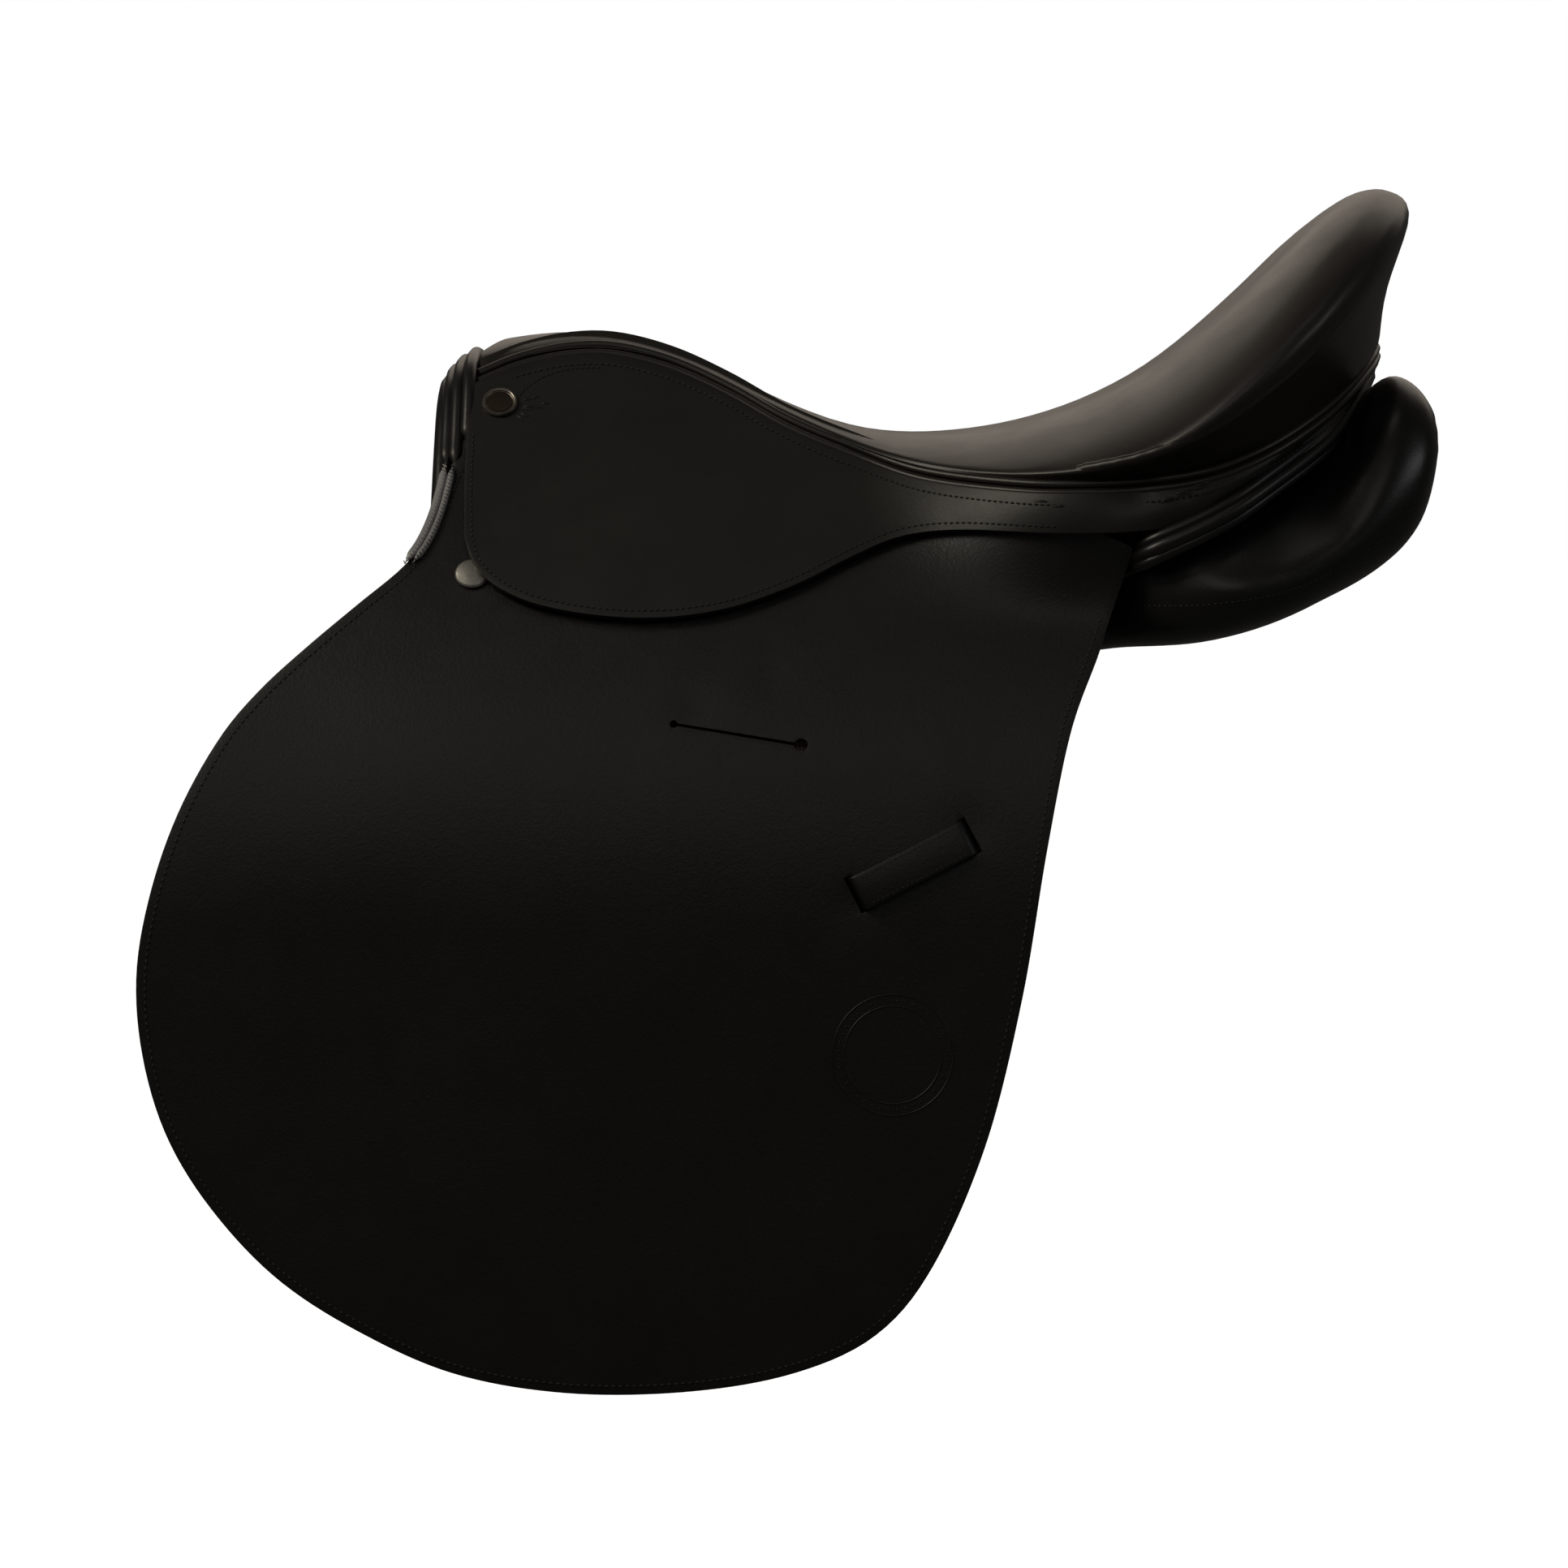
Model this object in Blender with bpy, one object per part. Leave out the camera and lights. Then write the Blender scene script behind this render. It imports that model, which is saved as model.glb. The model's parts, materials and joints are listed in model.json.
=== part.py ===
"""English saddle: one named object for each piece, at real size.

Frame: -X is the front (pommel), +X the rear (cantle), -Y the horse's left, +Z up. The origin is
the point of the horse's back, or of a rack, under the waist of the seat, level with the lowest
bearing line of the panels. Sizes are in millimetres; MM turns them into Blender's metres.

Everything at the sides lies in leaves over one side surface, y = side_y(x, z). A leaf is given by
its outline in (x, z) and by two offsets w from that surface, measured along Y and positive outwards.
"""

import math

import bmesh
import bpy
from mathutils import Matrix, Vector
from mathutils.bvhtree import BVHTree

MM = 0.001
SIDES = {"left": -1, "right": 1}

# ---- Clearances -----------------------------------------------------------------------------
GAP = 0.4  # between pieces that touch on the real saddle
SLIP = 0.4  # radial, round a shank, a rivet or a pin

# ---- Side surface: half width of the flap's outer face at each height ------------------------
SPREAD = 176.0  # half width where the straight lower part begins
SPREAD_Z = -100.0
LOWER_LEAN = math.radians(5)  # of the straight lower part, from vertical
UPPER_LEAN = math.radians(38)  # of the straight upper part, under the skirt
PROFILE_RADIUS = 300.0
FLARE = 42.0  # how far the broad rear of the seat carries the side surface outwards
FLARE_X = (18.0, 126.0)
FLARE_Z = (26.0, 96.0)

# ---- Leather and other sheets: offsets w of the two faces, inner then outer -------------------
SKIRT_W = (3.0, 6.0)
FLAP_W = (-4.0, 0.0)
SWEAT_FLAP_W = (-21.0, -18.4)
KNEE_ROLL_W = (-18.1, -6.5)
BILLET_W = (-12.0, -8.6)
GUARD_FRONT_W = (-6.5, -4.5)
GUARD_BACK_W = (-15.4, -13.0)
TREE_SIDE_W = (-17.8, -12.2)
GULLET_PLATE_W = (-20.7, -18.2)
BAR_PLATE_W = (-11.9, -10.6)
BAR_RAIL_W = (-2.8, 1.1)
BAR_LUG_W = (-2.8, -1.0)
CATCH_W = (-0.6, 1.1)
PANEL_W = -24.0

# ---- Hinge lines -----------------------------------------------------------------------------
FLAP_HINGE_Z = 26.0
SKIRT_BEND = ((-153.7, 111.0), (30.0, 74.0))  # (x, z) ends of the skirt's bend
HINGE_GAP = 0.5  # each side of a bend line

# ---- Flap ------------------------------------------------------------------------------------
FLAP_FRONT = [
    (-240.3, 1.5), (-273.7, -50.3), (-285.3, -84.8), (-291.2, -119.6), (-288.6, -154.5),
    (-278.1, -189.2), (-258.8, -220.5),
]
FLAP_BOTTOM = [
    (-258.8, -220.5), (-230.7, -250.1), (-195.8, -272.7), (-104.9, -299.4), (-7.1, -290.7),
    (27.8, -274.4), (45.0, -256.0), (54.0, -240.0),
]
FLAP_REAR = [(112.7, -15.8), (101.5, -67.5), (90.8, -130.1), (75.1, -192.7), (62.5, -224.0), (54.0, -240.0)]
FLAP_FRONT_X = -213.9  # where the outline crosses the hinge line
FLAP_REAR_X = 128.4
FLAP_TOP_FRONT = [(-179.0, 55.5), (-169.1, 71.4), (-159.6, 98.3), (-150.0, 128.0)]
FLAP_TOP_REAR = [(135.9, 46.7), (141.0, 63.0)]
FLAP_TOP_BELOW_WELT = 9.0

SLOT = ((-59.9, -13.0), (-4.6, -22.0))  # slit that takes the end of a stirrup leather
SLOT_WIDTH = 1.6
SLOT_HOLE_RADII = (1.6, 2.8)

KEEPER_MIDDLE = (43.7, -73.0)
KEEPER_SLOPE = math.radians(26.9)
KEEPER_LENGTH = 55.0
KEEPER_WIDTH = 15.5
KEEPER_THICK = 1.8
KEEPER_RISE = 3.4  # of the arch over the flap
KEEPER_FOOT = 5.0
KEEPER_SLIT_ROOM = 2.2  # more than the strap, each way

FLAP_STUD_AT = (-149.4, 50.9)
FLAP_STUD_RADIUS = 7.5
NAIL_AT = (-140.1, 126.8)
NAIL_RADIUS = 8.0
SHANK_RADIUS = 1.5
NAIL_DEPTH = 12.5  # below the side surface, into the tree

# ---- Skirt -----------------------------------------------------------------------------------
SKIRT_FRONT = [(-153.2, 89.3), (-152.2, 68.0), (-145.5, 52.5), (-136.0, 44.5), (-119.1, 38.1)]
SKIRT_LOWER = [(-119.1, 38.1), (-78.0, 32.8), (-35.5, 37.0), (-7.0, 46.8), (24.0, 62.5)]
SKIRT_LOBE_END = (24.0, 74.0)
SKIRT_TAIL = [
    (31.0, 69.0), (64.9, 70.7), (108.0, 69.3), (145.3, 69.0),
    (170.4, 75.4), (200.1, 93.0), (232.6, 119.0),
]  # (x, z) of the fixed lower edge behind the lobe
SKIRT_TAIL_Y = [(138.0, 139.0), (170.4, 137.0), (200.1, 122.0), (232.6, 88.0)]
SKIRT_FRONT_X = -152.5
SKIRT_BELOW_WELT = 3.4

# ---- Seat: welt and rim, from the front middle round one side to the rear middle --------------
# welt x, welt z, rim x, rim y, rim z, slope at the rim, tree inset, share of the tree's hole
SEAT_STATIONS = [
    (-160.0, 141.5, -159.0, 0.0, 147.5, -0.5, 9, 0.15),
    (-159.0, 141.0, -157.6, 22.0, 147.0, -0.5, 9, 0.15),
    (-150.6, 138.6, -148.5, 46.0, 144.8, -0.6, 6, 0.15),
    (-132.4, 146.1, -131.5, 41.5, 151.6, -0.6, 2, 0.16),
    (-110.4, 151.0, -110.0, 38.0, 156.2, -0.6, -1, 0.20),
    (-88.2, 151.0, -88.0, 38.0, 155.8, -0.6, -1, 0.28),
    (-62.2, 144.2, -62.0, 43.5, 149.2, -0.5, -1, 0.40),
    (-36.3, 132.3, -36.0, 53.0, 137.3, -0.4, -1, 0.50),
    (-10.0, 117.5, -10.0, 65.0, 122.3, -0.35, -1, 0.58),
    (20.0, 105.0, 20.0, 75.5, 109.8, -0.35, -1, 0.64),
    (50.0, 94.5, 50.0, 93.0, 99.8, -0.4, 1, 0.70),
    (89.7, 89.4, 90.0, 120.5, 95.2, -0.5, 4, 0.73),
    (120.0, 88.8, 121.0, 139.0, 96.0, -0.65, 7, 0.74),
    (150.0, 90.5, 152.0, 154.0, 103.0, -0.8, 9, 0.74),
    (177.6, 95.6, 178.0, 160.0, 119.5, -0.9, 9, 0.72),
    (205.0, 107.5, 211.3, 149.0, 149.4, -0.95, 9, 0.66),
    (232.5, 125.4, 243.0, 122.0, 180.0, -1.0, 9, 0.55),
    (251.0, 142.0, 263.0, 86.0, 201.0, -1.0, 9, 0.42),
    (259.0, 151.5, 273.5, 46.0, 213.5, -1.0, 9, 0.36),
    (261.0, 154.5, 276.7, 0.0, 218.2, -1.0, 9, 0.35),
]
WELT_Y_FRONT = [(-160.0, 0.0), (-159.0, 22.0), (-150.6, 51.0)]
WELT_Y_REAR = [
    (150.0, 134.0), (177.6, 132.0), (205.0, 121.0), (232.5, 98.0), (251.0, 65.0), (259.0, 34.0),
    (261.0, 0.0),
]
SEAT_MIDDLE = [
    (-161.0, 148.9), (-150.0, 154.5), (-134.9, 159.0), (-116.1, 161.6), (-97.2, 160.1),
    (-74.6, 153.8), (-48.2, 143.2), (-14.3, 127.4), (8.4, 118.8), (23.5, 115.0), (38.6, 113.9),
    (76.3, 116.0), (114.1, 124.5), (151.7, 141.0), (189.2, 168.0), (205.0, 180.5), (215.0, 188.5),
]  # (x, z) of the seat's middle line
SPINE = (-140.0, 205.0)
STATIONS_PER_SIDE = 18
CROWN_ROWS = (0.0, 0.22, 0.44, 0.64, 0.8, 0.91, 1.0)
COVER_THICK = 2.5
WELT_RADIUS = 1.8
COVER_ABOVE_WELT = 2.4
FOAM_TOP, FOAM_BOTTOM = 3.3, 14.0  # depths under the seat's top
FOAM_EDGE_BOTTOM = 8.4
FOAM_EDGE_TOP = 5.6
FOAM_INSET = 9.5
FOAM_ROWS = (0.0, 0.3, 0.58, 0.82, 1.0)
LONG_WEB_DEPTH = (16.0, 17.3)
CROSS_WEB_DEPTH = (17.8, 19.0)
TREE_DEPTH = (19.6, 28.4)
TREE_SHARES = (0.0, 0.3, 0.65, 1.0)  # across the tree's rails, outer to inner
UNDER_TREE_DEPTH = (29.8, 31.4)  # springs, cantle plate and the crown of the gullet plate
LINING_DEPTH = (35.4, 36.8)

# ---- Tree and its steel ----------------------------------------------------------------------
TREE_SPINE = (-84.0, 170.0)
WING_X = (-150.0, -46.0)
WING_Z = 56.0
WING_BELOW_WELT = 17.0
POINT_X = (-149.0, -115.0)
POINT_Z = 16.0
POINT_INTO_WING = 8.0
GULLET_PLATE_X = (-140.0, -112.0)
GULLET_PLATE_HEIGHTS = (50.0, 70.0, 90.0, 103.0)
GULLET_PLATE_THICK = 2.4
GULLET_CROWN = ((42.0, 6.0), (33.0, 3.0), (20.0, 1.6), (7.0, 1.2))  # y, and drop under the tree
HEAD_PLATE_X = (-148.0, -118.0)
HEAD_PLATE_HALF = 26.0
SPRING_X = (-100.0, 148.0)
SPRING_WIDTH = 18.0
CANTLE_PLATE_FROM_X = 156.0
CANTLE_PLATE_SHARES = (0.3, 0.48, 0.65)
LONG_WEB_X = (-112.0, 214.0)
LONG_WEB_Y = (3.0, 37.0)
LONG_WEB_STEPS = 14
WEB_HEAD_SHARE = 0.5  # of the web's width where it is nailed to the narrow head
CROSS_WEB_X = (24.0, 72.0)
CROSS_WEB_HALF = 66.0
LINING_X = (-146.0, 196.0)
LINING_HALF = 26.0
LINING_STEPS = 12
POCKET_Z = (9.0, 42.0)
POCKET_WALL = 2.4

# ---- Stirrup bar -----------------------------------------------------------------------------
BAR_X = (-122.0, -58.0)
BAR_RAIL_Z = (60.0, 70.0)
BAR_PLATE_X = (-122.0, -66.0)
BAR_PLATE_Z = (59.0, 81.0)
BAR_BOSS_LENGTH = 11.0
BAR_LUG_LENGTH = 8.2
RIVET_X = (-113.0, -74.0)
RIVET_Z = 80.6  # on the side surface; the head sits lower, on the plate
RIVET_RADIUS = 1.5
RIVET_HEAD_RADIUS = 3.0
RIVET_HEAD = 1.3
CATCH_HALF_WIDTH = 3.5
CATCH_REACH = 12.5
CATCH_PIN_RADIUS = 1.3
NOTCH_X = (-126.0, -44.0)
NOTCH_Z = (50.0, 89.0)

# ---- Girth straps ----------------------------------------------------------------------------
BILLET_MIDDLES = (-45.0, -5.0, 35.0)
BILLET_WIDTH = 25.0
BILLET_PIVOT_Z = -95.0
BILLET_TIP_Z = -262.0
BILLET_HOLES = 5
BILLET_HOLE_PITCH = 25.0
BILLET_FIRST_HOLE = 38.0  # below the pivot
BILLET_HOLE_RADIUS = 2.4
WEB_TOP_Z = 68.0
WEBS = ((-57.5, -32.5), (-17.5, 47.5))
GUARD_SIDE_ROOM = 11.5
GUARD_WALL = 2.4
GUARD_Z = (-178.0, -106.0)
GUARD_BACK_Z = (-160.0, -124.0)

# ---- Facings ---------------------------------------------------------------------------------
FACING_X = (-169.0, -161.4)
FACING_HALF_THICK = 3.6
FACING_PATH_W = -9.4
FACING_FOOT_Z = 62.0
FACING_CROWN = [(50.0, 124.0), (28.0, 134.0), (0.0, 137.5)]
REAR_BAND_PATH = [
    (147.0, 141.0, 57.0), (177.5, 138.5, 72.0), (199.7, 127.0, 85.5), (230.4, 100.0, 106.0),
    (248.9, 68.0, 128.0), (258.5, 30.0, 142.0), (262.0, 0.0, 147.0),
]
REAR_BAND_HALF_WIDTH = 5.0
REAR_BAND_THICK = 3.0

# ---- Panel: x, then (y, z) round the section from the inner top; y of None is the side surface
PANEL_STATIONS = [
    (-165.0, [(33, 106), (None, 98), (None, 60), (None, 22), (119, -12), (82, 26), (37, 80)]),
    (-100.0, [(31, 112), (None, 100), (None, 60), (None, 20), (119, -10), (80, 22), (35, 76)]),
    (-30.0, [(31, 94), (None, 84), (None, 52), (None, 24), (119, -3), (79, 20), (34, 58)]),
    (20.0, [(31, 75), (None, 66), (None, 48), (None, 24), (120, 0), (80, 15), (33, 42)]),
    (80.0, [(31, 73), (None, 62), (None, 48), (None, 26), (121, 4), (80, 14), (33, 37)]),
    (127.0, [(31, 92), (103, 78), (114, 56), (111, 38), (109, 20), (80, 18), (34, 40)]),
    (146.0, [(31, 98), (108, 84), (123, 62), (125, 40), (120, 19), (84, 21), (34, 44)]),
    (178.0, [(32, 112), (102, 94), (129, 66), (142, 40), (125, 21), (85, 26), (35, 52)]),
    (212.0, [(34, 112), (84, 98), (114, 74), (137, 48), (122, 31), (85, 40), (37, 70)]),
    (238.0, [(38, 104), (72, 108), (105, 96), (129, 66), (112, 45), (80, 54), (40, 80)]),
    (254.0, [(45, 116), (72, 126), (102, 114), (121, 79), (108, 57), (79, 64), (45, 92)]),
    (266.0, [(53, 116), (76, 125), (101, 112), (115, 84), (103, 67), (77, 74), (53, 98)]),
    (274.0, [(62, 112), (79, 118), (100, 106), (108, 90), (97, 78), (79, 84), (64, 100)]),
    (278.0, [(76, 105), (85, 109), (94, 102), (97, 97), (91, 92), (83, 94), (77, 99)]),
]
# Where the sections of the panel are, closer together toward its round rear end.
PANEL_RING_X = [
    -165.0, -120.0, -75.0, -30.0, 10.0, 50.0, 85.0, 112.0, 135.0, 156.0, 178.0, 202.0, 224.0, 243.0,
    257.0, 267.0, 274.0, 278.0,
]
PANEL_CURVE_POINTS = 444

# ---- Sweat flap and knee roll ----------------------------------------------------------------
SWEAT_TOP = [(-170.0, 44.0), (-60.0, 46.0), (40.0, 46.0), (112.0, 22.0)]
SWEAT_FRONT = [(-170.0, 44.0), (-236.0, -20.0), (-264.0, -84.0), (-269.0, -150.0), (-244.0, -208.0)]
SWEAT_BOTTOM = [(-244.0, -208.0), (-180.0, -256.0), (-100.0, -278.0), (-10.0, -272.0), (38.0, -236.0)]
SWEAT_REAR = [(112.0, 22.0), (90.0, -60.0), (72.0, -150.0), (38.0, -236.0)]
KNEE_ROLL_FRONT = [(-196.0, 8.0), (-236.0, -40.0), (-256.0, -100.0), (-256.0, -160.0)]
KNEE_ROLL_REAR = [(-168.0, 2.0), (-202.0, -50.0), (-216.0, -100.0), (-220.0, -156.0)]
KNEE_ROLL_EDGE = 3.0

# Colour, roughness and metallic value of each material.
MATERIALS = {
    "seat leather": ((0.030, 0.026, 0.021), 0.34, 0.0),
    "flap leather": ((0.014, 0.012, 0.011), 0.42, 0.0),
    "skirt leather": ((0.024, 0.021, 0.015), 0.36, 0.0),
    "panel leather": ((0.016, 0.014, 0.013), 0.28, 0.0),
    "strap leather": ((0.045, 0.028, 0.018), 0.5, 0.0),
    "laminated beech": ((0.42, 0.27, 0.15), 0.55, 0.0),
    "webbing": ((0.50, 0.45, 0.36), 0.9, 0.0),
    "foam": ((0.72, 0.66, 0.48), 0.95, 0.0),
    "spring steel": ((0.28, 0.29, 0.31), 0.4, 1.0),
    "forged steel": ((0.55, 0.55, 0.56), 0.3, 1.0),
    "nickel": ((0.70, 0.68, 0.64), 0.22, 1.0),
}
SMOOTH_ANGLE = math.radians(32)


# ---- Geometry helpers ------------------------------------------------------------------------
def smoothstep(start, end, x):
    t = min(max((x - start) / (end - start), 0.0), 1.0)
    return t * t * (3 - 2 * t)


def mix(a, b, t):
    return tuple(p + (q - p) * t for p, q in zip(a, b))


def between(p0, p1, p2, p3, t):
    """The point at share t from p1 to p2 on a Catmull-Rom curve."""
    weights = (-t**3 + 2 * t**2 - t, 3 * t**3 - 5 * t**2 + 2, -3 * t**3 + 4 * t**2 + t, t**3 - t**2)
    return tuple(sum(w * c for w, c in zip(weights, comps)) / 2 for comps in zip(p0, p1, p2, p3))


def spline(points, count, measure=3, steps=12):
    """count points spaced evenly along a Catmull-Rom curve through the points. The length is
    taken over the first `measure` components."""
    ends = [mix(points[1], points[0], 2.0), *points, mix(points[-2], points[-1], 2.0)]
    dense = []
    for i in range(1, len(ends) - 2):
        for k in range(steps):
            t = k / steps
            dense.append(between(*ends[i - 1 : i + 3], t))
    dense.append(tuple(points[-1]))
    length = [0.0]
    for a, b in zip(dense, dense[1:]):
        length.append(length[-1] + math.dist(a[:measure], b[:measure]))
    found = []
    k = 0
    for i in range(count):
        goal = length[-1] * i / (count - 1)
        while k < len(dense) - 2 and length[k + 1] < goal:
            k += 1
        step = length[k + 1] - length[k]
        found.append(mix(dense[k], dense[k + 1], (goal - length[k]) / step if step else 0.0))
    return found


def lookup(table, x):
    """The value at x in a table of (x, value) pairs, along straight lines between its points."""
    if x <= table[0][0]:
        return table[0][1]
    for (x0, v0), (x1, v1) in zip(table, table[1:]):
        if x <= x1:
            return v0 + (v1 - v0) * (x - x0) / (x1 - x0)
    return table[-1][1]


def dense_table(table, count=60):
    return spline(table, count, measure=1)


def profile(z):
    """Half width of the side surface at height z, before the flare."""
    middle_y = SPREAD - PROFILE_RADIUS * math.cos(LOWER_LEAN)
    middle_z = SPREAD_Z - PROFILE_RADIUS * math.sin(LOWER_LEAN)
    straight_z = middle_z + PROFILE_RADIUS * math.sin(UPPER_LEAN)
    if z > straight_z:
        straight_y = middle_y + PROFILE_RADIUS * math.cos(UPPER_LEAN)
        return straight_y - (z - straight_z) * math.tan(UPPER_LEAN)
    if z < SPREAD_Z:
        return SPREAD + (SPREAD_Z - z) * math.tan(LOWER_LEAN)
    return middle_y + math.sqrt(PROFILE_RADIUS**2 - (z - middle_z) ** 2)


def side_y(x, z):
    return profile(z) + FLARE * smoothstep(*FLARE_X, x) * smoothstep(*FLARE_Z, z)


def on_side(sign, x, z, w):
    return Vector((x, sign * (side_y(x, z) + w), z))


def lean_at(z):
    """Angle of the side surface from vertical at height z."""
    step = 0.5
    return math.atan((profile(z - step) - profile(z + step)) / (2 * step))


def outward(sign, z):
    lean = lean_at(z)
    return Vector((0.0, sign * math.cos(lean), math.sin(lean)))


def patch(top, bottom, front, rear, columns, rows):
    """A grid of (x, z) inside four edges. Top and bottom run front to rear, and front and rear
    run top to bottom."""
    top, bottom = spline(top, columns + 1, 2), spline(bottom, columns + 1, 2)
    front, rear = spline(front, rows + 1, 2), spline(rear, rows + 1, 2)
    grid = []
    for i in range(columns + 1):
        u = i / columns
        line = []
        for j in range(rows + 1):
            v = j / rows
            across = mix(top[i], bottom[i], v)
            along = mix(front[j], rear[j], u)
            corners = mix(mix(top[0], top[-1], u), mix(bottom[0], bottom[-1], u), v)
            line.append(tuple(a + b - c for a, b, c in zip(across, along, corners)))
        grid.append(line)
    return grid


# ---- Making objects --------------------------------------------------------------------------
def clear_scene():
    for obj in list(bpy.data.objects):
        bpy.data.objects.remove(obj, do_unlink=True)


def material(kind):
    found = bpy.data.materials.get(kind)
    if found:
        return found
    colour, roughness, metallic = MATERIALS[kind]
    found = bpy.data.materials.new(kind)
    found.use_nodes = True
    shader = found.node_tree.nodes["Principled BSDF"]
    shader.inputs["Base Color"].default_value = (*colour, 1.0)
    shader.inputs["Roughness"].default_value = roughness
    shader.inputs["Metallic"].default_value = metallic
    found.diffuse_color = (*colour, 1.0)
    return found


def finish(name, bm, kind, origin=(0, 0, 0)):
    """Turns a bmesh in millimetres into an object whose origin is at `origin`."""
    bmesh.ops.recalc_face_normals(bm, faces=bm.faces)
    bmesh.ops.translate(bm, vec=-Vector(origin), verts=bm.verts)
    bmesh.ops.scale(bm, vec=(MM, MM, MM), verts=bm.verts)
    mesh = bpy.data.meshes.new(name)
    bm.to_mesh(mesh)
    bm.free()
    mesh.shade_smooth()
    mesh.set_sharp_from_angle(angle=SMOOTH_ANGLE)
    mesh.materials.append(material(kind))
    obj = bpy.data.objects.new(name, mesh)
    obj.location = Vector(origin) * MM
    bpy.context.scene.collection.objects.link(obj)
    return obj


def block_mesh(points, closed=False, keep=None, open_start=False):
    """The outer faces of the kept cells of a grid points[i][j][k]. `closed` joins the last i to
    the first, and `open_start` leaves out the faces at j = 0, where two halves meet."""
    ni, nj, nk = len(points), len(points[0]), len(points[0][0])
    cells_i = ni if closed else ni - 1
    keep = keep or (lambda i, j, k: True)

    def kept(i, j, k):
        if closed:
            i %= ni
        inside = 0 <= i < cells_i and 0 <= j < nj - 1 and 0 <= k < nk - 1
        return inside and keep(i, j, k)

    bm = bmesh.new()
    made = {}

    def vertex(i, j, k):
        key = (i % ni, j, k)
        if key not in made:
            made[key] = bm.verts.new(points[key[0]][j][k])
        return made[key]

    sides = (
        ((-1, 0, 0), ((0, 0, 0), (0, 0, 1), (0, 1, 1), (0, 1, 0))),
        ((1, 0, 0), ((1, 0, 0), (1, 1, 0), (1, 1, 1), (1, 0, 1))),
        ((0, -1, 0), ((0, 0, 0), (1, 0, 0), (1, 0, 1), (0, 0, 1))),
        ((0, 1, 0), ((0, 1, 0), (0, 1, 1), (1, 1, 1), (1, 1, 0))),
        ((0, 0, -1), ((0, 0, 0), (0, 1, 0), (1, 1, 0), (1, 0, 0))),
        ((0, 0, 1), ((0, 0, 1), (1, 0, 1), (1, 1, 1), (0, 1, 1))),
    )
    for i in range(cells_i):
        for j in range(nj - 1):
            for k in range(nk - 1):
                if not kept(i, j, k):
                    continue
                for (di, dj, dk), corners in sides:
                    if kept(i + di, j + dj, k + dk) or (open_start and dj == -1 and j == 0):
                        continue
                    bm.faces.new([vertex(i + a, j + b, k + c) for a, b, c in corners])
    if open_start:
        bmesh.ops.remove_doubles(bm, verts=bm.verts, dist=0.01)
        bmesh.ops.dissolve_degenerate(bm, edges=bm.edges, dist=0.01)
    return bm


def leaf(name, sign, grid, offsets, kind, origin=(0, 0, 0)):
    """A sheet over the side surface between two offsets."""
    points = [[[on_side(sign, x, z, w) for w in offsets] for x, z in line] for line in grid]
    return finish(name, block_mesh(points), kind, origin)


def cells(name, sign, xs, zs, ws, kind, keep=None, origin=(0, 0, 0)):
    """Kept boxes of a grid over the side surface."""
    points = [[[on_side(sign, x, z, w) for w in ws] for z in zs] for x in xs]
    return finish(name, block_mesh(points, keep=keep), kind, origin)


def turned(name, rings, sign, x, z, kind, segments=16, origin=(0, 0, 0)):
    """A turned shape on the side surface's normal at (x, z). rings are (radius, height)."""
    bm = bmesh.new()
    last = None
    for radius, height in rings:
        ring = [
            bm.verts.new((radius * math.cos(a), radius * math.sin(a), height))
            for a in (2 * math.pi * i / segments for i in range(segments))
        ]
        if last:
            for i in range(segments):
                j = (i + 1) % segments
                bm.faces.new((last[i], last[j], ring[j], ring[i]))
        else:
            bm.faces.new(ring)
        last = ring
    bm.faces.new(last)
    turn = Vector((0, 0, 1)).rotation_difference(outward(sign, z)).to_matrix().to_4x4()
    bm.transform(Matrix.Translation(on_side(sign, x, z, 0.0)) @ turn)
    return finish(name, bm, kind, origin)


def hide(obj):
    obj.hide_render = True
    obj.display_type = "WIRE"
    return obj


def cut(obj, *cutters, operation="DIFFERENCE"):
    for cutter in cutters:
        modifier = obj.modifiers.new(cutter.name, "BOOLEAN")
        modifier.operation = operation
        modifier.object = hide(cutter)


def box_on_side(name, sign, xs, zs, ws):
    return cells(name, sign, xs, zs, ws, "spring steel")


def oriented_box(name, sign, middle, slope, length, width, depth):
    """A straight box through the side surface at (x, z), with its length at `slope` to X."""
    bm = bmesh.new()
    bmesh.ops.create_cube(bm, size=1.0)
    bmesh.ops.scale(bm, vec=(length, depth, width), verts=bm.verts)
    x, z = middle
    lean = Matrix.Rotation(sign * lean_at(z), 4, "X")
    turn = lean @ Matrix.Rotation(-slope, 4, "Y")
    bm.transform(Matrix.Translation(on_side(sign, x, z, 0.0)) @ turn)
    return finish(name, bm, "spring steel")


# ---- Seat surfaces ---------------------------------------------------------------------------
def welt_y(x, z):
    if x < WELT_Y_FRONT[-1][0]:
        return lookup(WELT_Y_FRONT, x)
    if x > WELT_Y_REAR[0][0]:
        return lookup(WELT_Y_REAR, x)
    edge = side_y(x, z)
    return edge + (WELT_Y_REAR[0][1] - edge) * smoothstep(120.0, WELT_Y_REAR[0][0], x)


def seat_stations():
    """Stations round the whole seat, as (sign, row), closed from the right side to the left."""
    rows = [(wx, welt_y(wx, wz), wz, *rest) for wx, wz, *rest in SEAT_STATIONS]
    half = spline(rows, STATIONS_PER_SIDE + 1, 2)
    right = [(1, row) for row in half]
    left = [(-1, row) for row in reversed(half[1:-1])]
    return right + left


def spine_point(x, ends):
    return Vector((min(max(x, ends[0]), ends[1]), 0.0, 0.0))


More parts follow.
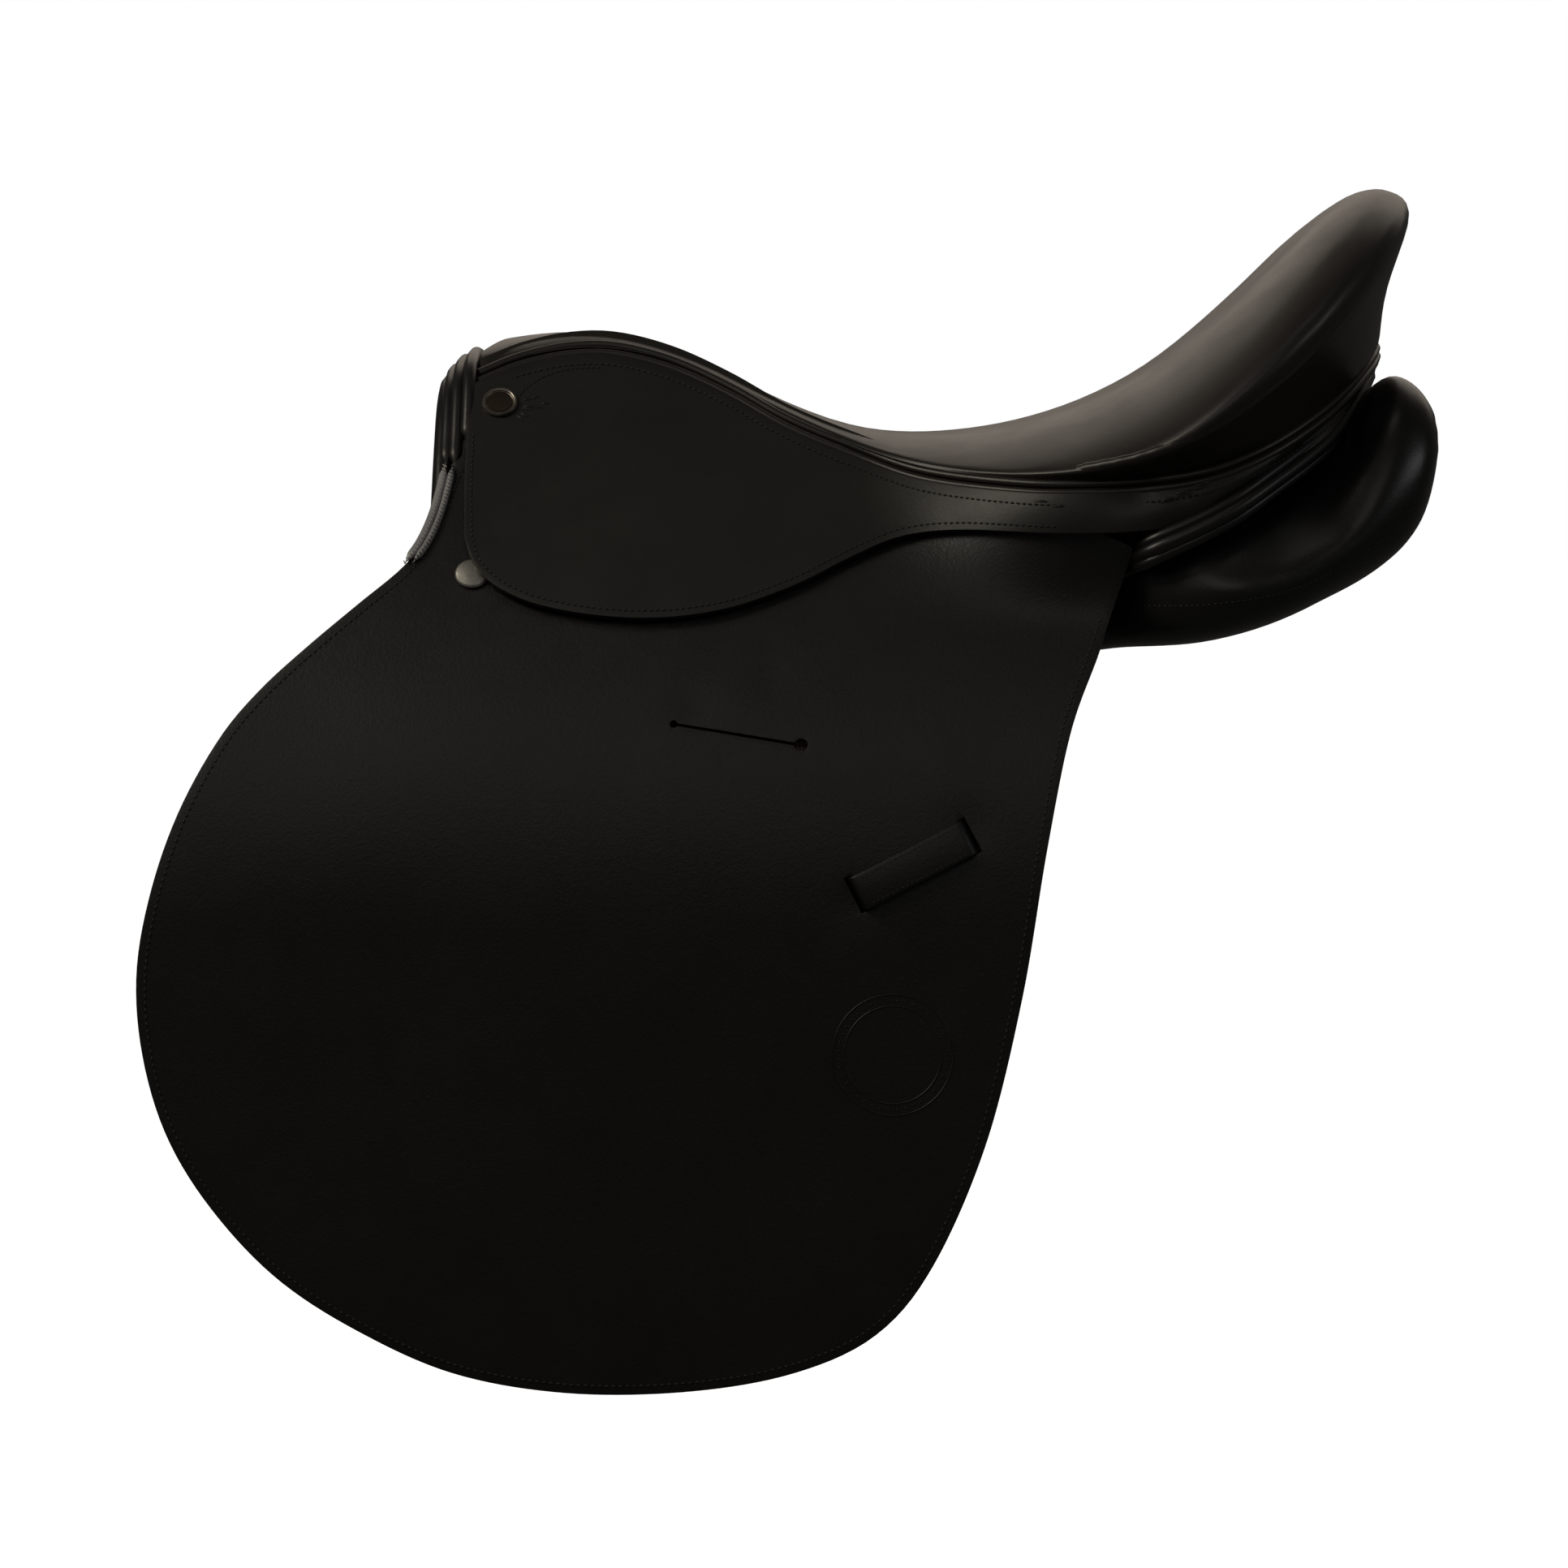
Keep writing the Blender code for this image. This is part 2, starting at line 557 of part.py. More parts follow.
def crown(sign, row, t, middle):
    """The seat's top at share t of the way from the spine to the rim: a cubic curve that leaves
    the middle line at its own slope and reaches the rim at the station's slope."""
    rim_x, rim_y, rim_z, rim_slope = row[3:7]
    start = spine_point(rim_x, SPINE)
    start.z = lookup(middle, start.x)
    rim = Vector((rim_x, sign * rim_y, rim_z))
    flat = Vector((rim.x - start.x, rim.y - start.y))
    rise = (lookup(middle, start.x + 1) - lookup(middle, start.x - 1)) / 2
    point = start.lerp(rim, t)
    point.z = (
        start.z * (2 * t**3 - 3 * t**2 + 1)
        + rise * flat.x * (t**3 - 2 * t**2 + t)
        + rim.z * (3 * t**2 - 2 * t**3)
        + rim_slope * flat.length * (t**3 - t**2)
    )
    return point


def towards_spine(point, distance, ends=SPINE):
    target = spine_point(point.x, ends)
    flat = Vector((target.x - point.x, target.y - point.y, 0.0))
    return point + flat.normalized() * distance if flat.length > 1e-6 else point.copy()


class Seat:
    """The seat's outer surface, which everything under it follows."""

    def __init__(self):
        self.stations = seat_stations()
        self.middle = dense_table(SEAT_MIDDLE)
        crowns = [[crown(s, row, t, self.middle) for t in CROWN_ROWS] for s, row in self.stations]
        self.crowns = crowns
        count, rows = len(crowns), len(CROWN_ROWS)
        vertices = [point for line in crowns for point in line]
        faces = [
            (i * rows + j, ((i + 1) % count) * rows + j, ((i + 1) % count) * rows + j + 1, i * rows + j + 1)
            for i in range(count)
            for j in range(rows - 1)
        ]
        self.tree = BVHTree.FromPolygons(vertices, faces)

    def height(self, x, y):
        """Height of the seat's top over (x, y), or over the nearest place inside its rim."""
        ends = (SPINE[0] + 2, SPINE[1] - 2)
        target = spine_point(x, ends)
        for step in range(40):
            share = step / 60
            spot = Vector((x, y, 0)).lerp(target, share)
            hit = self.tree.ray_cast(Vector((spot.x, spot.y + 1e-4, 400.0)), Vector((0, 0, -1)))[0]
            if hit:
                return hit.z
        return lookup(self.middle, x)

    def welt(self, sign, row):
        return Vector((row[0], sign * row[1], row[2]))

    def under(self, x, y, depth):
        return Vector((x, y, self.height(x, y) - depth))


def make_cover(seat):
    points = []
    for (sign, row), line in zip(seat.stations, seat.crowns):
        rim = line[-1]
        foot = seat.welt(sign, row) + Vector((0, 0, COVER_ABOVE_WELT))
        waist = towards_spine(rim.lerp(foot, 0.5), 0.12 * abs(rim.z - foot.z))
        outer = [*line, waist, foot]
        inner = [p - Vector((0, 0, COVER_THICK)) for p in line[:-1]]
        inner += [
            towards_spine(rim, COVER_THICK) - Vector((0, 0, COVER_THICK)),
            towards_spine(waist - Vector((0, 0, 0.3 * COVER_THICK)), COVER_THICK),
            towards_spine(foot, COVER_THICK),
        ]
        points.append([list(pair) for pair in zip(outer, inner)])
    return finish("seat_cover", block_mesh(points, closed=True, open_start=True), "seat leather")


def make_foam(seat):
    points = []
    for line in seat.crowns:
        middle, edge = line[0], towards_spine(line[-1], FOAM_INSET)
        column = []
        for t in FOAM_ROWS:
            spot = middle.lerp(edge, t)
            upper = FOAM_TOP + (FOAM_EDGE_TOP - FOAM_TOP) * t**3
            lower = FOAM_BOTTOM + (FOAM_EDGE_BOTTOM - FOAM_BOTTOM) * t**4
            column.append([seat.under(spot.x, spot.y, depth) for depth in (upper, lower)])
        points.append(column)
    return finish("seat_foam", block_mesh(points, closed=True, open_start=True), "foam")


def make_welts(seat):
    half = [row for sign, row in seat.stations if sign > 0]
    for side, sign in SIDES.items():
        path = [seat.welt(sign, row) for row in half[2:]]
        path[-1].y = sign * (WELT_RADIUS + GAP)
        curve = bpy.data.curves.new(f"{side}_seat_welt", "CURVE")
        curve.dimensions = "3D"
        curve.bevel_depth = WELT_RADIUS * MM
        curve.bevel_resolution = 1
        curve.use_fill_caps = True
        line = curve.splines.new("POLY")
        line.points.add(len(path) - 1)
        for spot, place in zip(line.points, path):
            spot.co = (*(place * MM), 1.0)
        curve.materials.append(material("seat leather"))
        obj = bpy.data.objects.new(f"{side}_seat_welt", curve)
        bpy.context.scene.collection.objects.link(obj)


def strip_under(name, seat, path, half_width, depths, kind, across=(0, 1, 0)):
    """A flat strip that follows the seat's underside along a plan path."""
    points = []
    for x, y in path:
        pairs = []
        for share in (-1, 0, 1):
            spot = Vector((x, y, 0)) + Vector(across) * half_width * share
            pairs.append([seat.under(spot.x, spot.y, depth) for depth in depths])
        points.append(pairs)
    return finish(name, block_mesh(points), kind)


def make_webs(seat):
    near, far = LONG_WEB_Y
    for side, sign in SIDES.items():
        points = []
        for i in range(LONG_WEB_STEPS + 1):
            x = LONG_WEB_X[0] + (LONG_WEB_X[1] - LONG_WEB_X[0]) * i / LONG_WEB_STEPS
            reach = near + (far - near) * (WEB_HEAD_SHARE + (1 - WEB_HEAD_SHARE) * smoothstep(-80, -30, x))
            spots = (near, (near + reach) / 2, reach)
            points.append([[seat.under(x, sign * y, depth) for depth in LONG_WEB_DEPTH] for y in spots])
        finish(f"{side}_seat_web", block_mesh(points), "webbing")
    middle = sum(CROSS_WEB_X) / 2
    half = (CROSS_WEB_X[1] - CROSS_WEB_X[0]) / 2
    path = [(middle, CROSS_WEB_HALF * (i / 5 - 1)) for i in range(11)]
    strip_under("cross_seat_web", seat, path, half, CROSS_WEB_DEPTH, "webbing", across=(1, 0, 0))


# ---- Tree ------------------------------------------------------------------------------------
def tree_edges(seat):
    """For each station, its side and the tree's outer and inner edge in plan."""
    edges = []
    for sign, row in seat.stations:
        inset, share = row[7], row[8]
        outer = towards_spine(seat.welt(sign, row), inset)
        outer.z = 0.0
        inner = spine_point(outer.x, TREE_SPINE).lerp(outer, share)
        edges.append((sign, outer, inner))
    return edges


def make_tree(seat):
    """The laminated frame: a ring of head, rails and cantle, with a wing and a point each side."""
    points = []
    for _, outer, inner in tree_edges(seat):
        spots = [outer.lerp(inner, share) for share in TREE_SHARES]
        points.append([[seat.under(p.x, p.y, depth) for depth in TREE_DEPTH] for p in spots])
    tree = finish("tree", block_mesh(points, closed=True), "laminated beech")
    welt = welt_line(seat)
    for side, sign in SIDES.items():
        grid = []
        for i in range(9):
            x = WING_X[0] + (WING_X[1] - WING_X[0]) * i / 8
            top = lookup(welt, x) - WING_BELOW_WELT
            grid.append([(x, WING_Z + (top - WING_Z) * j / 3) for j in range(4)])
        wing = leaf(f"{side} wing", sign, grid, TREE_SIDE_W, "laminated beech")
        top = WING_Z + POINT_INTO_WING
        zs = [POINT_Z + (top - POINT_Z) * j / 4 for j in range(5)]
        inner, outer = TREE_SIDE_W
        point = cells(
            f"{side} point", sign, POINT_X, zs, (inner + 0.1, outer - 0.1), "laminated beech"
        )
        cut(tree, wing, point, operation="UNION")
    return tree


def welt_line(seat):
    """(x, z) of the welt from the front corner back along the side."""
    rows = [row for sign, row in seat.stations if sign > 0 and row[1] > 30]
    line = [(row[0], row[2]) for row in rows]
    return sorted(line)


def make_gullet_plate(seat):
    """The steel arch inside the head: up one wing, under the head and down the other wing."""
    columns = (GULLET_PLATE_X[0], sum(GULLET_PLATE_X) / 2, GULLET_PLATE_X[1])
    half = []
    for z in GULLET_PLATE_HEIGHTS:
        half.append([[Vector((x, side_y(x, z) + w, z)) for w in GULLET_PLATE_W] for x in columns])
    for y, drop in GULLET_CROWN:
        line = []
        for x in columns:
            top = seat.under(x, y, UNDER_TREE_DEPTH[0] + drop)
            line.append([top - Vector((0, 0, GULLET_PLATE_THICK)), top])
        half.append(line)
    other = [[[Vector((p.x, -p.y, p.z)) for p in pair] for pair in line] for line in reversed(half)]
    finish("gullet_plate", block_mesh(half + other), "spring steel")


def make_tree_steel(seat):
    make_gullet_plate(seat)
    middle = sum(HEAD_PLATE_X) / 2
    reach = (HEAD_PLATE_X[1] - HEAD_PLATE_X[0]) / 2
    path = [(middle, HEAD_PLATE_HALF * (i / 3 - 1)) for i in range(7)]
    strip_under("head_plate", seat, path, reach, CROSS_WEB_DEPTH, "spring steel", across=(1, 0, 0))

    edges = tree_edges(seat)
    for side, sign in SIDES.items():
        mids = [outer.lerp(inner, 0.5) for s, outer, inner in edges if s == sign]
        path = sorted((m.x, m.y) for m in mids if SPRING_X[0] < m.x < SPRING_X[1])
        strip_under(f"{side}_spring", seat, path, SPRING_WIDTH / 2, UNDER_TREE_DEPTH, "spring steel")

    points = []
    for _, outer, inner in edges:
        if outer.lerp(inner, 0.5).x > CANTLE_PLATE_FROM_X:
            spots = [outer.lerp(inner, share) for share in CANTLE_PLATE_SHARES]
            points.append([[seat.under(p.x, p.y, depth) for depth in UNDER_TREE_DEPTH] for p in spots])
    finish("cantle_plate", block_mesh(points), "spring steel")


def make_lining(seat):
    step = (LINING_X[1] - LINING_X[0]) / LINING_STEPS
    path = [(LINING_X[0] + step * i, 0.0) for i in range(LINING_STEPS + 1)]
    strip_under("gullet_lining", seat, path, LINING_HALF, LINING_DEPTH, "panel leather")


def make_point_pockets():
    inner = SWEAT_FLAP_W[1] + 0.2
    outer = TREE_SIDE_W[1] + GAP
    xs = (POINT_X[0] - 1.6 - POCKET_WALL, POINT_X[0] - 1.6, POINT_X[1] + 1.6, POINT_X[1] + 1.6 + POCKET_WALL)
    floor = POINT_Z - 1.2
    zs = (POCKET_Z[0], floor, floor + 9, floor + 18, POCKET_Z[1])
    for side, sign in SIDES.items():
        cells(
            f"{side}_point_pocket", sign, xs, zs, (inner, outer, outer + POCKET_WALL), "strap leather",
            keep=lambda i, j, k: k == 1 or j == 0 or i != 1,
        )


# ---- Stirrup bars ----------------------------------------------------------------------------
def make_stirrup_bars(tree):
    pivot_x = BAR_X[1] - BAR_LUG_LENGTH / 2
    pivot_z = sum(BAR_RAIL_Z) / 2
    lug_x = BAR_X[1] - BAR_LUG_LENGTH
    xs = sorted({BAR_X[0], BAR_X[0] + BAR_BOSS_LENGTH, BAR_PLATE_X[1], lug_x, BAR_X[1]})
    zs = (BAR_PLATE_Z[0], *BAR_RAIL_Z, BAR_PLATE_Z[1])
    ws = (*BAR_PLATE_W, BAR_RAIL_W[0], BAR_LUG_W[1], BAR_RAIL_W[1])

    def keep(i, j, k):
        x = (xs[i] + xs[i + 1]) / 2
        if k == 0:
            return x < BAR_PLATE_X[1]
        if j != 1:
            return False
        if k == 1:
            return x < BAR_X[0] + BAR_BOSS_LENGTH
        return k == 2 or x < lug_x

    for side, sign in SIDES.items():
        bar = cells(f"{side}_stirrup_bar", sign, xs, zs, ws, "forged steel", keep)
        for place, x in zip(("front", "rear"), RIVET_X):
            base = depth_of(BAR_PLATE_W[1], RIVET_Z) + 0.3
            foot = depth_of(TREE_SIDE_W[0], RIVET_Z) + 1.2
            turned(
                f"{side}_{place}_bar_rivet",
                [(RIVET_RADIUS, foot), (RIVET_RADIUS, base), (RIVET_HEAD_RADIUS, base),
                 (RIVET_HEAD_RADIUS, base + 0.6), (RIVET_HEAD_RADIUS * 0.55, base + RIVET_HEAD)],
                sign, x, RIVET_Z, "forged steel", 12,
            )
            radius = RIVET_RADIUS + SLIP
            hole = turned(
                f"{side} {place} rivet hole",
                [(radius, foot - 0.6), (radius, base + 4)], sign, x, RIVET_Z, "forged steel", 12,
            )
            cut(tree, hole)
            cut(bar, hole)
        hole = turned(
            f"{side} catch pin hole", [(CATCH_PIN_RADIUS + SLIP, -12), (CATCH_PIN_RADIUS + SLIP, 4)],
            sign, pivot_x, pivot_z, "forged steel", 12,
        )
        cut(bar, hole)
        catch = make_catch(side, sign, pivot_x, pivot_z)
        cut(catch, hole)
        turned(
            f"{side}_catch_pin",
            [(CATCH_PIN_RADIUS, depth_of(BAR_LUG_W[0], pivot_z)),
             (CATCH_PIN_RADIUS, depth_of(CATCH_W[1], pivot_z))],
            sign, pivot_x, pivot_z, "forged steel", 12,
        )


def depth_of(w, z):
    """Distance along the side surface's normal that matches an offset w along Y."""
    return w * math.cos(lean_at(z))


def make_catch(side, sign, pivot_x, pivot_z):
    """The thumb piece at the open end of the bar, a flat lever that turns on its pin."""
    half = CATCH_HALF_WIDTH
    outline = [
        (half * math.cos(a), half * math.sin(a))
        for a in (math.pi / 2 + math.pi * i / 6 for i in range(7))
    ]
    outline += [(CATCH_REACH - 3, -half), (CATCH_REACH, -half * 0.5), (CATCH_REACH, half * 0.5), (CATCH_REACH - 3, half)]
    bm = bmesh.new()
    low, high = (depth_of(w, pivot_z) for w in CATCH_W)
    face = bm.faces.new([bm.verts.new((x, low, y)) for x, y in outline])
    grown = bmesh.ops.extrude_face_region(bm, geom=[face])["geom"]
    bmesh.ops.translate(
        bm, vec=(0, high - low, 0), verts=[v for v in grown if isinstance(v, bmesh.types.BMVert)]
    )
    if sign < 0:
        bmesh.ops.scale(bm, vec=(1, -1, 1), verts=bm.verts)
    pivot = on_side(sign, pivot_x, pivot_z, 0.0)
    bm.transform(Matrix.Translation(pivot) @ Matrix.Rotation(sign * lean_at(pivot_z), 4, "X"))
    return finish(f"{side}_bar_catch", bm, "forged steel", pivot)


# ---- Flaps and skirts ------------------------------------------------------------------------
def bend_z(x):
    (x0, z0), (x1, z1) = SKIRT_BEND
    return z0 + (z1 - z0) * (x - x0) / (x1 - x0)


def hinge_origin(sign):
    return Vector((0.0, sign * (side_y(0.0, FLAP_HINGE_Z) + GAP), FLAP_HINGE_Z))


def make_flaps(seat, side, sign):
    z = FLAP_HINGE_Z - HINGE_GAP
    top = [(FLAP_FRONT_X, z), (FLAP_REAR_X, z)]
    grid = patch(top, FLAP_BOTTOM, top[:1] + FLAP_FRONT, top[1:] + FLAP_REAR, 10, 10)
    flap = leaf(f"{side}_flap", sign, grid, FLAP_W, "flap leather", hinge_origin(sign))

    z = FLAP_HINGE_Z + HINGE_GAP
    welt = welt_line(seat)
    front = [(FLAP_FRONT_X + 1.2, z), *FLAP_TOP_FRONT]
    rear = [(FLAP_REAR_X + 0.4, z), *FLAP_TOP_REAR]
    xs = [-150.0, -130.0, -100.0, -70.0, -30.0, 10.0, 50.0, 100.0]
    upper = [(x, lookup(welt, x) - FLAP_TOP_BELOW_WELT) for x in xs[1:]]
    upper = [FLAP_TOP_FRONT[-1], *upper, FLAP_TOP_REAR[-1]]
    grid = patch(upper, [front[0], rear[0]], front[::-1], rear[::-1], 14, 4)
    flap_top = leaf(f"{side}_flap_top", sign, grid, FLAP_W, "flap leather")
    notch = box_on_side(f"{side} bar notch", sign, NOTCH_X, NOTCH_Z, (FLAP_W[0] - 8, FLAP_W[1] + 8))
    cut(flap_top, notch)
    return flap, flap_top


def make_slot(flap, side, sign):
    (x0, z0), (x1, z1) = SLOT
    middle = ((x0 + x1) / 2, (z0 + z1) / 2)
    slope = math.atan2(z1 - z0, x1 - x0)
    length = math.hypot(x1 - x0, z1 - z0)
    cut(flap, oriented_box(f"{side} slot", sign, middle, slope, length, SLOT_WIDTH, 24))
    for (x, z), radius in zip(SLOT, SLOT_HOLE_RADII):
        hole = turned(f"{side} slot hole {x}", [(radius, -12), (radius, 12)], sign, x, z, "nickel", 12)
        cut(flap, hole)


def make_keeper(flap, side, sign):
    """The strap loop that holds a stirrup leather's end, passed through two slits in the flap."""
    half, rise, behind = KEEPER_LENGTH / 2, KEEPER_RISE, FLAP_W[0] - 1.4
    path = [
        (half + KEEPER_FOOT, behind), (half + 1.0, behind), (half, behind + 1.0), (half, rise - 1.4),
        (half - 1.6, rise), (half * 0.4, rise + 0.4),
    ]
    path = [(-u, w) for u, w in path] + [(u, w) for u, w in reversed(path)]
    x0, z0 = KEEPER_MIDDLE
    along = Vector((math.cos(KEEPER_SLOPE), math.sin(KEEPER_SLOPE)))
    across = Vector((-along.y, along.x))
    points = []
    for i, (u, w) in enumerate(path):
        before, after = path[max(i - 1, 0)], path[min(i + 1, len(path) - 1)]
        run = Vector((after[0] - before[0], after[1] - before[1])).normalized()
        normal = Vector((-run.y, run.x)) * KEEPER_THICK / 2
        columns = []
        for share in (-0.5, 0.5):
            pair = []
            for sense in (-1, 1):
                spot = along * (u + normal.x * sense) + across * KEEPER_WIDTH * share
                pair.append(on_side(sign, x0 + spot.x, z0 + spot.y, w + normal.y * sense))
            columns.append(pair)
        points.append(columns)
    finish(f"{side}_keeper", block_mesh(points), "flap leather", hinge_origin(sign))
    for end in (-1, 1):
        spot = along * half * end
        slit = oriented_box(
            f"{side} keeper slit {end}", sign, (x0 + spot.x, z0 + spot.y), KEEPER_SLOPE,
            KEEPER_THICK + KEEPER_SLIT_ROOM, KEEPER_WIDTH + KEEPER_SLIT_ROOM, 24,
        )
        cut(flap, slit)


def make_skirts(seat, side, sign):
    x0, _ = SKIRT_BEND[0]
    end_x = SKIRT_LOBE_END[0]
    front = [(x0, bend_z(x0) - HINGE_GAP), *SKIRT_FRONT]
    rear = [(end_x, bend_z(end_x) - HINGE_GAP), SKIRT_LOWER[-1]]
    bend = [front[0], rear[0]]
    pivot = on_side(sign, x0, bend_z(x0), SKIRT_W[1] + GAP)
    grid = patch(bend, SKIRT_LOWER, front, rear, 12, 5)
    leaf(f"{side}_skirt", sign, grid, SKIRT_W, "skirt leather", pivot)

    welt = welt_line(seat)
    tail = dense_table(SKIRT_TAIL)
    tail_y = dense_table(SKIRT_TAIL_Y)
    xs = [SKIRT_FRONT_X, -140, -120, -100, -80, -55, -30, -5, 16, 30.5, 36, 50, 70, 90, 110, 130]
    points = []
    for x in xs:
        upper = lookup(welt, x) - SKIRT_BELOW_WELT
        lower = bend_z(x) + HINGE_GAP if x < 31 else lookup(tail, x)
        rows = []
        for share in (0.0, 0.5, 1.0):
            z = upper + (lower - upper) * share
            rows.append([on_side(sign, x, z, w) for w in SKIRT_W])
        points.append(rows)
    half = [row for s, row in seat.stations if s > 0 and 140 < row[0] < 236]
    for row in half:
        top = seat.welt(sign, row) - Vector((0, 0, SKIRT_BELOW_WELT))
        flat = towards_spine(top, -1.0) - top
        low_x = row[0] + 2.0
        low = Vector((low_x, sign * lookup(tail_y, low_x), lookup(tail, low_x)))
        rows = []
        for share in (0.0, 0.5, 1.0):
            spot = top.lerp(low, share)
            rows.append([spot + flat * w for w in SKIRT_W])
        points.append(rows)
    return finish(f"{side}_skirt_top", block_mesh(points), "skirt leather")


def make_fasteners(flap_top, skirt_top, tree, side, sign):
    base = depth_of(SKIRT_W[1], NAIL_AT[1]) + 0.3
    radius = NAIL_RADIUS
    turned(
        f"{side}_skirt_nail",
        [(SHANK_RADIUS * 0.7, -NAIL_DEPTH), (SHANK_RADIUS, -NAIL_DEPTH + 2), (SHANK_RADIUS, base),
         (radius, base), (radius, base + 0.8), (radius - 0.9, base + 1.8), (radius - 1.8, base + 1.3)],
        sign, *NAIL_AT, "nickel", 16,
    )
    hole = turned(
        f"{side} nail hole", [(SHANK_RADIUS + SLIP, -NAIL_DEPTH - 0.8), (SHANK_RADIUS + SLIP, base + 6)],
        sign, *NAIL_AT, "nickel", 12,
    )
    cut(skirt_top, hole)
    cut(flap_top, hole)
    cut(tree, hole)

    radius = FLAP_STUD_RADIUS
    turned(
        f"{side}_flap_stud",
        [(SHANK_RADIUS, -6.0), (SHANK_RADIUS, 0.3), (radius, 0.3), (radius, 1.2), (radius - 1.2, 1.9)],
        sign, *FLAP_STUD_AT, "nickel", 16,
    )
    hole = turned(
        f"{side} stud hole", [(SHANK_RADIUS + SLIP, -8), (SHANK_RADIUS + SLIP, 6)],
        sign, *FLAP_STUD_AT, "nickel", 12,
    )
    cut(flap_top, hole)


# ---- Under the flap --------------------------------------------------------------------------
def make_sweat_flap(side, sign):
    grid = patch(SWEAT_TOP, SWEAT_BOTTOM, SWEAT_FRONT, SWEAT_REAR, 8, 8)
    leaf(f"{side}_sweat_flap", sign, grid, SWEAT_FLAP_W, "strap leather")
    top = [KNEE_ROLL_FRONT[0], KNEE_ROLL_REAR[0]]
    bottom = [KNEE_ROLL_FRONT[-1], KNEE_ROLL_REAR[-1]]
    columns, rows = 4, 7
    grid = patch(top, bottom, KNEE_ROLL_FRONT, KNEE_ROLL_REAR, columns, rows)
    low, high = KNEE_ROLL_W
    points = []
    for i, line in enumerate(grid):
        column = []
        for j, (x, z) in enumerate(line):
            swell = math.sin(math.pi * i / columns) ** 0.6 * math.sin(math.pi * j / rows) ** 0.35
            outer = low + KNEE_ROLL_EDGE + (high - low - KNEE_ROLL_EDGE) * swell
            column.append([on_side(sign, x, z, low), on_side(sign, x, z, outer)])
        points.append(column)
    finish(f"{side}_knee_roll", block_mesh(points), "panel leather")


def straight_down(sign, x, z, w):
    """A point on the plane that carries on the side surface's straight lower part."""
    y = SPREAD + (SPREAD_Z - z) * math.tan(LOWER_LEAN) + w
    return Vector((x, sign * y, z))


def make_girth_straps(side, sign):
    zs = [WEB_TOP_Z + (BILLET_PIVOT_Z + 3 - WEB_TOP_Z) * j / 8 for j in range(9)]
    for place, xs in zip(("front", "rear"), WEBS):
        cells(f"{side}_{place}_girth_web", sign, xs, zs, (BILLET_W[0] + 0.1, BILLET_W[1] - 0.1), "webbing")
    for place, x in zip(("front", "middle", "rear"), BILLET_MIDDLES):
        make_billet(f"{side}_{place}_billet", sign, x)
    make_guard(side, sign)


def make_billet(name, sign, x):
    half = BILLET_WIDTH / 2
    tip = BILLET_TIP_Z
    outline = [
        (x - half, BILLET_PIVOT_Z), (x - half, tip + 16), (x - half * 0.45, tip),
        (x + half * 0.45, tip), (x + half, tip + 16), (x + half, BILLET_PIVOT_Z),
    ]
    bm = bmesh.new()
    near = [bm.verts.new(straight_down(sign, px, pz, BILLET_W[0])) for px, pz in outline]
    far = [bm.verts.new(straight_down(sign, px, pz, BILLET_W[1])) for px, pz in outline]
    bm.faces.new(near)
    bm.faces.new(far)
    count = len(outline)
    for i in range(count):
        j = (i + 1) % count
        bm.faces.new((near[i], near[j], far[j], far[i]))
    pivot = straight_down(sign, x, BILLET_PIVOT_Z, sum(BILLET_W) / 2)
    billet = finish(name, bm, "strap leather", pivot)
    bm = bmesh.new()
    for i in range(BILLET_HOLES):
        z = BILLET_PIVOT_Z - BILLET_FIRST_HOLE - BILLET_HOLE_PITCH * i
        spot = straight_down(sign, x, z, sum(BILLET_W) / 2)
        place = Matrix.Translation(spot) @ Matrix.Rotation(math.pi / 2, 4, "X")
        bmesh.ops.create_cone(
            bm, cap_ends=True, segments=6, radius1=BILLET_HOLE_RADIUS, radius2=BILLET_HOLE_RADIUS,
            depth=12, matrix=place,
        )
    cut(billet, finish(f"{name} holes", bm, "strap leather"))


def make_guard(side, sign):
    """The buckle guard, a flat tube of leather round the three girth straps."""
    room = BILLET_WIDTH / 2 + GUARD_SIDE_ROOM
    x0, x1 = BILLET_MIDDLES[0] - room, BILLET_MIDDLES[-1] + room
    xs = (x0 - GUARD_WALL, x0, x1, x1 + GUARD_WALL)
    zs = sorted({*GUARD_Z, *GUARD_BACK_Z})
    ws = (*GUARD_BACK_W, *GUARD_FRONT_W)

    def keep(i, j, k):
        if k == 2:
            return True
        if j != 1:
            return False
        return k == 0 or i != 1

    points = [[[straight_down(sign, x, z, w) for w in ws] for z in zs] for x in xs]
    finish(f"{side}_buckle_guard", block_mesh(points, keep=keep), "strap leather",
           straight_down(sign, (x0 + x1) / 2, GUARD_Z[1], GUARD_FRONT_W[1]))


# ---- Panels and facings ----------------------------------------------------------------------
def panel_ring(x, controls):
    ring = []
    for y, z in controls:
        ring.append((side_y(x, z) + PANEL_W if y is None else y, z))
    return ring


def make_panel(side, sign):
    rows = []
    for x, controls in PANEL_STATIONS:
        flat = [x]
        for y, z in panel_ring(x, controls):
            flat += [y, z]
        rows.append(tuple(flat))
    dense = dense_table(rows, PANEL_CURVE_POINTS)
    rings = [min(dense, key=lambda row, x=x: abs(row[0] - x)) for x in PANEL_RING_X]
    bm = bmesh.new()
    last = None
    for row in rings:
        controls = list(zip(row[1::2], row[2::2]))
        ring_points = closed_ring(controls)
        ring = [bm.verts.new((row[0], sign * y, z)) for y, z in ring_points]
        if last:
            for i in range(len(ring)):
                j = (i + 1) % len(ring)
                bm.faces.new((last[i], last[j], ring[j], ring[i]))
        else:
            bm.faces.new(ring)
        last = ring
    bm.faces.new(last)
    finish(f"{side}_panel", bm, "panel leather")


